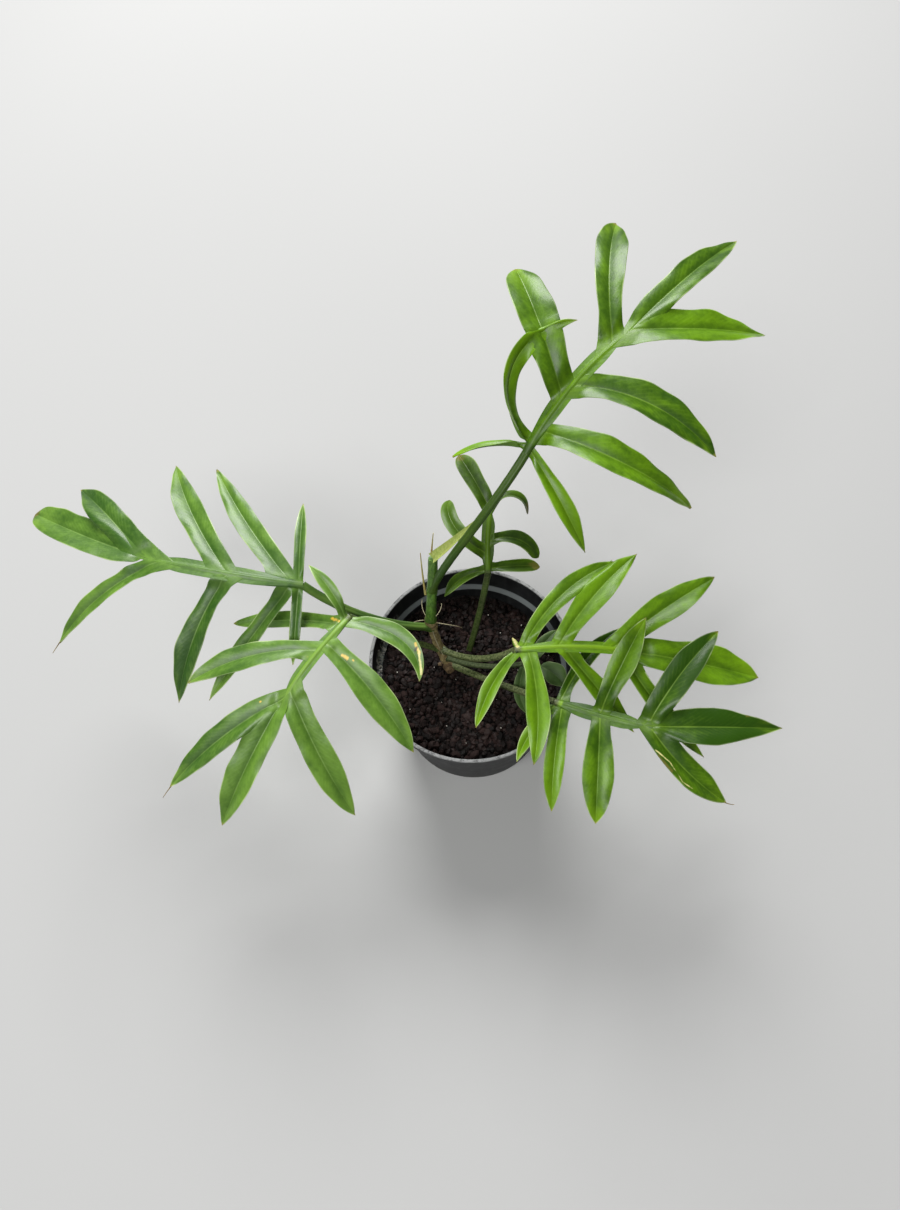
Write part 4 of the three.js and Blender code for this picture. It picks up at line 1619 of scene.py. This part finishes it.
@dataclass
class Pot:
    """The nursery pot: thin walls, an offset collar, a rolled lip and drain holes."""

    height: float = 134.0
    rim_radius: float = 80.0
    base_radius: float = 65.0
    wall: float = 1.5
    collar_height: float = 24.0
    collar_top_radius: float = 78.8
    collar_foot_radius: float = 77.6
    body_top_radius: float = 74.0
    lip: float = 2.0
    base_chamfer: float = 3.0
    drain_holes: int = 8
    drain_radius: float = 4.5
    drain_circle: float = 47.0
    steps: int = 128

    @property
    def ledge(self) -> float:
        """The height of the ledge inside."""
        return self.height - self.collar_height

    def wall_radius(self, height: np.ndarray) -> np.ndarray:
        """Gives the pot's inner radius at heights.

        Args:
            height: The heights.

        Returns:
            The radii.
        """
        heights = (self.wall, self.ledge, self.ledge + self.wall * 0.6, self.height)
        radii = (self.base_radius, self.body_top_radius, self.collar_foot_radius, self.collar_top_radius)
        return np.interp(height, heights, radii) - self.wall

    def _outline(self) -> list[tuple[float, float]]:
        """Draws the section: outside from the floor up, over the lip and down the inside.

        Returns:
            Radii and heights.
        """
        top, rim, wall, ledge = self.height, self.rim_radius, self.wall, self.ledge
        base, body, edge = self.base_radius, self.body_top_radius, self.base_chamfer
        foot, collar_top = self.collar_foot_radius, self.collar_top_radius
        bends = np.linspace(0.0, math.pi / 2.0, 5)
        chamfer = [(base - edge * (1.0 - math.sin(a)), edge * (1.0 - math.cos(a))) for a in bends]
        collar = [
            (body, ledge - 1.9),
            (body + 0.25, ledge - 1.2),
            (foot - 0.9, ledge - 0.5),
            (foot - 0.2, ledge + 0.2),
            (foot, ledge + 1.2),
            (collar_top, top - self.lip - 0.7),
            (collar_top + 0.3, top - self.lip - 0.2),
        ]
        bead = [
            (rim - 0.35, top - self.lip + 0.05),
            (rim, top - self.lip + 0.5),
            (rim, top - 0.7),
            (rim - 0.3, top - 0.2),
            (rim - 0.9, top),
            (rim - 1.9, top),
            (rim - 2.5, top - 0.25),
            (collar_top - wall, top - 1.2),
        ]
        inside = [
            (foot - wall, ledge + wall * 0.6 + 0.5),
            (foot - wall - 0.5, ledge + wall * 0.6),
            (body - wall + 0.6, ledge),
            (body - wall, ledge - 0.6),
            (base - wall + 0.05, wall + 1.2),
            (base - wall - 1.2, wall),
            (0.0, wall),
        ]
        return [(0.0, 0.0), *chamfer, *collar, *bead, *inside]

    def build(self) -> None:
        """Models the pot, cuts its drain holes and dresses it."""
        pot = Bench.lathed(self._outline(), self.steps)
        cutter = self._cutter()
        Bench.pick([pot])
        bpy.ops.object.modifier_add(type="BOOLEAN")
        cut = pot.modifiers[-1]
        cut.operation = "DIFFERENCE"
        cut.solver = "EXACT"
        cut.object = cutter
        bpy.ops.object.modifier_apply(modifier=cut.name)
        bpy.data.objects.remove(cutter)
        plastic = PlasticFinish(self.height, self.ledge, self.collar_foot_radius)
        settle("pot_plastic", [pot], plastic.material(), "pot", "pot", sharp_past=34.0)

    def _cutter(self) -> bpy.types.Object:
        """Models the pegs that the drain holes are cut with.

        Returns:
            The cutter.
        """
        peg_sides = 24
        circle, radius, depth = self.drain_circle * MM, self.drain_radius * MM, self.wall * 6.0 * MM
        pegs = []
        for i in range(self.drain_holes):
            angle = (i + 0.5) * 2.0 * math.pi / self.drain_holes
            place = (circle * math.cos(angle), circle * math.sin(angle), 0.0)
            Bench.clear()
            bpy.ops.mesh.primitive_cylinder_add(
                vertices=peg_sides, radius=radius, depth=depth, location=place
            )
            bpy.ops.object.transform_apply(location=True, rotation=True, scale=True)
            pegs.append(bpy.context.object)
        return Bench.joined("drain_pegs", pegs)


@dataclass(frozen=True)
class Scatter:
    """Loose grains of one kind: their number, their sizes and how they lie."""

    name: str
    count: int
    margin: float
    least: float
    spread: float
    rarity: float
    lift: float
    level: int


@dataclass
class Soil:
    """The potting mix: one body with a lumpy top, and the loose crumbs and specks on it."""

    pot: Pot
    height: float = 105.0
    slope_x: float = -0.07
    slope_y: float = -0.08
    gap: float = 0.3
    mean_radius: float = 72.0
    clods: Scatter = Scatter("soil_clods", 1024, 3.4, 2.1, 2.1, 2.0, -0.7, 2)
    crumbs: Scatter = Scatter("soil_crumbs", 512, 2.2, 1.15, 0.9, 1.6, 0.3, 2)
    specks: Scatter = Scatter("soil_specks", 32, 6.0, 0.4, 0.35, 1.0, 1.9, 1)
    grid: int = 132
    sink: float = 0.9
    lump_height: float = 1.1
    seed: int = 11

    def surface(self, x: np.ndarray, y: np.ndarray) -> np.ndarray:
        """Gives the height of the soil's even surface at places."""
        return self.height + self.slope_x * x + self.slope_y * y

    def _reach(self, x: np.ndarray, y: np.ndarray) -> np.ndarray:
        """Gives the pot's inner radius at the soil, by shares of it along X and Y."""
        return self.pot.wall_radius(self.surface(x * self.mean_radius, y * self.mean_radius))

    def _scattered(self, draw: np.random.Generator, count: int, margin: float) -> tuple[np.ndarray, ...]:
        """Draws places spread evenly over the soil.

        Args:
            draw: The source of random numbers.
            count: The number of places.
            margin: How far they keep from the wall.

        Returns:
            Their X and Y.
        """
        golden_angle = math.pi * (3.0 - math.sqrt(5.0))
        stray_angle, stray = 0.02, 0.55
        index = np.arange(count) + 0.5
        angle = index * golden_angle + draw.normal(size=count) * stray_angle
        share = np.sqrt(index / count)
        x, y = share * np.cos(angle), share * np.sin(angle)
        reach = self._reach(x, y) - margin
        x = x * reach + draw.normal(size=count) * stray
        y = y * reach + draw.normal(size=count) * stray
        return x, y

    def build(self) -> None:
        """Models and dresses the soil, its clods and crumbs and its pale specks."""
        self._body()
        draw = np.random.default_rng(self.seed)
        crumb = SoilFinish("soil_crumbs", tint(6, 4, 3), tint(45, 31, 28)).material()
        self._grains(self.clods, draw, crumb)
        self._grains(self.crumbs, draw, crumb)
        pale = SpeckFinish("soil_specks", tint(150, 144, 134), tint(206, 202, 192))
        self._grains(self.specks, draw, pale.material())

    def _body(self) -> None:
        """Models the soil's body with a lumpy top that meets the pot's wall."""
        soil = Bench.grid(self.grid, self.grid, 2.0)
        u, v = Bench.places(soil)[:, :2].astype(float).T
        longest = np.maximum(np.abs(u), np.abs(v))
        least_distance = 1e-6
        spread = longest / np.maximum(np.hypot(u, v), least_distance)
        x, y = u * spread, v * spread
        wall = self._reach(x, y) - self.gap
        x, y = x * wall, y * wall
        draw = np.random.default_rng(self.seed + 1)
        lumps = draw.normal(size=(self.grid + 1, self.grid + 1))
        lumps = (lumps + np.roll(lumps, 1, 0) + np.roll(lumps, 1, 1) + np.roll(lumps, (1, 1), (0, 1))) / 4.0
        column, row = (np.rint((axis + 1.0) / 2.0 * self.grid).astype(int) for axis in (u, v))
        rough = lumps[row, column] * self.lump_height * (1.0 - smooth(longest, 0.95, 1.0))
        Bench.shape(soil, np.column_stack((x, y, self.surface(x, y) - self.sink + rough)))
        tone = 0.25 + 0.3 * draw.uniform(size=x.size)
        wet = np.full(x.size, 0.4)
        Bench.mark(soil, "growth", np.column_stack((tone, wet, np.zeros(x.size))))
        for limit in (self.pot.ledge + 0.4, self.pot.ledge - 0.8, self.pot.wall + self.gap):
            self._extend(soil, limit)
        Bench.edit()
        bpy.ops.mesh.fill_holes(sides=0)
        bpy.ops.mesh.select_mode(type="VERT")
        Bench.face_outwards()
        damp = SoilFinish("soil_body", tint(8, 6, 5), tint(30, 22, 20))
        settle("soil_body", [soil], damp.material(), "soil", "soil", sharp_past=50.0)

    def _extend(self, soil: bpy.types.Object, limit: float) -> None:
        """Extends the soil's open edge down along the pot's wall.

        Args:
            soil: The soil.
            limit: The height that it reaches down to.
        """
        least_step = 0.6
        before = len(soil.data.vertices)
        bpy.ops.object.mode_set(mode="EDIT")
        bpy.ops.mesh.select_mode(type="EDGE")
        bpy.ops.mesh.select_all(action="DESELECT")
        bpy.ops.mesh.select_non_manifold()
        bpy.ops.mesh.extrude_edges_move(TRANSFORM_OT_translate={"value": (0.0, 0.0, 0.0)})
        bpy.ops.object.mode_set(mode="OBJECT")
        for vertex in soil.data.vertices[before:]:
            height = min(vertex.co.z / MM - least_step, limit)
            radius = float(self.pot.wall_radius(np.array(height))) - self.gap
            shrink = radius * MM / math.hypot(vertex.co.x, vertex.co.y)
            vertex.co = (vertex.co.x * shrink, vertex.co.y * shrink, height * MM)

    def _grains(self, kind: Scatter, draw: np.random.Generator, material: bpy.types.Material) -> None:
        """Models one grain, copies it over the soil and gives each copy its own lumps.

        Args:
            kind: The kind of grain.
            draw: The source of random numbers.
            material: Its material.
        """
        lumpiness, least, most, stray_height = 0.17, 0.6, 1.4, 0.7
        narrowest, widest = 0.72, 1.15
        x, y = self._scattered(draw, kind.count, kind.margin)
        sizes = kind.least + kind.spread * draw.uniform(size=kind.count) ** kind.rarity
        grains, ball, copies = Bench.balls(kind.level, kind.count)
        lumpy = 1.0 + lumpiness * draw.normal(size=(copies, len(ball)))
        shape = ball[None, :, :] * np.clip(lumpy, least, most)[..., None]
        shape = shape * draw.uniform(narrowest, widest, size=(copies, 1, 3))
        turns = np.linalg.qr(draw.normal(size=(copies, 3, 3)))[0]
        turns = turns * np.sign(np.linalg.det(turns))[:, None, None]
        shape = np.einsum("nij,nkj->nki", turns, shape) * sizes[:copies, None, None]
        heights = self.surface(x, y) + kind.lift + draw.normal(size=len(x)) * stray_height
        Bench.shape(grains, (shape + np.column_stack((x, y, heights))[:copies, None, :]).reshape(-1, 3))
        tones = np.repeat(draw.uniform(size=(copies, 1, 3)), len(ball), 1)
        Bench.mark(grains, "growth", tones)
        settle(kind.name, [grains], material, "soil", sharp_past=44.0)


@dataclass
class Bits:
    """The small things: tip threads, whiskers, roots, stubs of old petioles and chalky flakes."""

    pot: Pot
    leaves: dict[str, Leaf]
    flakes: int = 64
    flakes_from: float = 158.0
    flakes_to: float = 206.0
    flakes_on_ledge: float = 0.6
    flakes_climb: float = 9.0
    flake_size: float = 0.8
    flake_flatness: float = 0.25

    def build(self) -> None:
        """Models and dresses them all."""
        self._threads()
        self._whiskers()
        self._roots()
        self._stubs()
        self._residue()

    @staticmethod
    def _bundle(name: str, stalks: list[Stalk], finish: FibreFinish, slot: str) -> None:
        """Makes one piece of thin stalks."""
        settle(name, [stalk.piece() for stalk in stalks], finish.material(), slot, sharp_past=60.0)

    def _threads(self) -> None:
        """Models the dried threads that some lobes' tips end in."""
        overlap = 2.0
        ends = (("leaf_left", 2, 9.0), ("leaf_front_left", 5, 10.0), ("leaf_front_right", 3, 7.0))
        stalks = []
        for name, number, length in ends:
            tip, lobe_run = self.leaves[name].tip(number)
            heading = lobe_run.heading + lobe_run.bend
            run = Run(length + overlap, heading, lobe_run.rise - lobe_run.droop, 25, -30)
            start = tip - run.directions(np.zeros(1))[0] * overlap
            stalks.append(Stalk(start, run, 0.45, sides=7, row_pitch=1.0, taper=0.4, seed=61))
        dried = FibreFinish("tip_thread", tint(96, 78, 40), tint(150, 128, 70), tint(80, 58, 30), 9.0)
        self._bundle("tip_threads", stalks, dried, "leaf")

    def _whiskers(self) -> None:
        """Models the dry strands beside the shoot."""
        top = np.array((-27.0, 52.0, 214.0))
        side = np.array((-33.0, 35.0, 182.0))
        stalks = [
            Stalk(top, Run(23, 60, 78, 3, 4), 0.8, sides=8, taper=0.35, seed=21),
            Stalk(side, Run(39, 100, 63, -9, -4), 0.95, sides=8, taper=0.3, seed=22),
        ]
        dry = FibreFinish("dry_strand", tint(140, 132, 66), tint(190, 178, 108), tint(150, 116, 66), 30.0)
        self._bundle("dry_strands", stalks, dry, "sheath")

    def _roots(self) -> None:
        """Models the thin pale roots and hairs round the stem's top."""
        roots = (
            (Run(26, 172, 34, 60, 78), 0.42, 0.5),
            (Run(20, 150, 52, -70, 60), 0.36, 0.5),
            (Run(24, 30, 30, 80, 90), 0.42, 0.5),
            (Run(30, -20, 20, 40, 88), 0.4, 0.5),
            (Run(30, -80, -20, 30, 40), 0.45, 0.6),
        )
        stalks = [
            Stalk(STEM_NODE, run, radius, sides=7, row_pitch=1.2, taper=taper, seed=31 + number)
            for number, (run, radius, taper) in enumerate(roots)
        ]
        pale = FibreFinish("pale_root", tint(132, 122, 92), tint(186, 178, 146), tint(110, 92, 60), 20.0)
        self._bundle("pale_roots", stalks, pale, "stem")

    def _stubs(self) -> None:
        """Models the brown stubs of old petioles at the stem's foot."""
        stubs = (
            (Run(9, -80, 40, 10, 30), 5.6, 0.6),
            (Run(10, 10, 38, 0, 20), 2.6, 0.55),
            (Run(9, 190, 30, 0, 20), 2.6, 0.5),
        )
        stalks = [
            Stalk(STEM_SOIL_POINT, run, radius, 12, 1.2, taper=taper, lumps=0.06, seed=41 + number)
            for number, (run, radius, taper) in enumerate(stubs)
        ]
        brown = FibreFinish("old_stub", tint(66, 52, 34), tint(124, 102, 70), tint(48, 37, 26), 5.0, 0.8)
        self._bundle("old_stubs", stalks, brown, "stem")

    def _residue(self) -> None:
        """Models the whitish flakes dried on the ledge and the wall at the left."""
        draw = np.random.default_rng(51)
        angle = np.radians(draw.uniform(self.flakes_from, self.flakes_to, self.flakes))
        share = draw.uniform(size=self.flakes)
        height = self.pot.ledge + 1.4 + self.flakes_climb * share**2.2
        radius = self.pot.wall_radius(height) - 0.15
        flat = draw.uniform(size=self.flakes) < self.flakes_on_ledge
        radius = np.where(flat, self.pot.body_top_radius - 1.2 + 3.0 * share, radius)
        height = np.where(flat, self.pot.ledge + 1.0, height)
        flakes, ball, copies = Bench.balls(2, self.flakes)
        lumpy = np.clip(1.0 + 0.25 * draw.normal(size=(copies, len(ball))), 0.5, 1.5)
        shape = ball[None] * lumpy[..., None] * draw.uniform(0.25, 1.5, size=(copies, 1, 3)) ** 1.5
        shape[..., 2] *= self.flake_flatness
        centre = np.column_stack((radius * np.cos(angle), radius * np.sin(angle), height))
        Bench.shape(flakes, shape * self.flake_size + centre[:, None, :])
        chalk = SpeckFinish("ledge_residue", tint(104, 101, 94), tint(168, 164, 154))
        settle("ledge_residue", [flakes], chalk.material(), "pot", sharp_past=44.0)


@dataclass(frozen=True)
class Lamp:
    """A round soft lamp: its name, its place and size in metres, and its power in watts."""

    name: str
    place: tuple[float, float, float]
    size: float
    power: float


@dataclass
class Studio:
    """The plain floor, the soft light and the camera at the photograph's angle.

    Place is where the camera stands, in millimetres, and turns are its degrees about X, Y and Z.
    """

    lens: float = 31.4
    sensor: float = 36.0
    place: tuple[float, float, float] = (10.46, -204.62, 712.58)
    turns: tuple[float, float, float] = (23.53, 2.41, 0.7)
    clip_start: float = 0.01
    floor_half: float = 4.0
    floor_drop: float = 0.0002
    lit_point: tuple[float, float, float] = (0.0, 0.02, 0.15)
    surround: Colour = (0.98, 0.99, 1.0, 1.0)
    surround_strength: float = 0.13
    lamps: tuple[Lamp, ...] = (
        Lamp("key", (-0.35, 2.35, 2.4), 1.9, 150.0),
        Lamp("front", (-0.9, -1.3, 2.7), 1.5, 64.0),
    )

    def build(self) -> None:
        """Makes the floor, the lights and the camera."""
        self._floor()
        self._lights()
        self._camera()

    def _floor(self) -> None:
        """Makes the floor, just under the pot."""
        Bench.clear()
        bpy.ops.mesh.primitive_plane_add(size=2.0 * self.floor_half, location=(0, 0, 0))
        floor = bpy.context.object
        floor.name = "studio_floor"
        floor.data.transform(Matrix.Translation((0.0, 0.0, -self.floor_drop)))
        paint = Painter("studio_floor")
        shade = paint.noise(paint.position(), 900.0, 1.0)
        body = paint.mix(shade, tint(170, 170, 169), tint(178, 178, 177))
        floor.data.materials.append(paint.finish(body, 0.85))

    @staticmethod
    def _put(name: str, data: bpy.types.ID, turn: Matrix, place: Any) -> bpy.types.Object:
        """Adds a lamp or a camera to the scene.

        Args:
            name: Its name.
            data: The light or the camera.
            turn: Its right, its up and its backward vector, as columns.
            place: Where it stands, in metres.

        Returns:
            The object.
        """
        item = bpy.data.objects.new(name, data)
        bpy.context.scene.collection.objects.link(item)
        matrix = turn.to_4x4()
        matrix.translation = place
        item.matrix_world = matrix
        return item

    def _lights(self) -> None:
        """Makes a broad soft light behind the plant, a weaker one in front and an even surround."""
        bpy.context.scene.view_settings.view_transform = "Standard"
        world = bpy.data.worlds.new("studio")
        bpy.context.scene.world = world
        world.use_nodes = True
        background = world.node_tree.nodes["Background"]
        background.inputs["Color"].default_value = self.surround
        background.inputs["Strength"].default_value = self.surround_strength
        for lamp in self.lamps:
            light = bpy.data.lights.new(lamp.name, "AREA")
            light.shape = "DISK"
            light.size = lamp.size
            light.energy = lamp.power
            aim = unit(np.array(self.lit_point) - np.array(lamp.place))
            right = unit(np.cross(aim, UP))
            axes = np.column_stack((right, np.cross(right, aim), -aim))
            self._put(lamp.name, light, Matrix(axes.tolist()), lamp.place)

    def _camera(self) -> None:
        """Makes the camera where the photograph was taken from."""
        data = bpy.data.cameras.new("photo_camera")
        data.sensor_fit = "HORIZONTAL"
        data.sensor_width = self.sensor
        data.lens = self.lens
        data.clip_start = self.clip_start
        turn = Euler([math.radians(value) for value in self.turns], "XYZ").to_matrix()
        place = [value * MM for value in self.place]
        bpy.context.scene.camera = self._put("photo_camera", data, turn, place)


def main() -> None:
    """Builds the potted plant and the studio round it."""
    logging.basicConfig(level=logging.INFO, format="%(message)s")
    pot = Pot()
    pot.build()
    Soil(pot).build()
    Stem().build()
    first_seed = 101
    leaves = {plan.name: Leaf(plan, first_seed + number) for number, plan in enumerate(LEAF_PLANS)}
    for leaf in leaves.values():
        leaf.build()
    Bits(pot, leaves).build()
    Studio().build()
    Bench.clear()


if __name__ == "__main__":
    main()
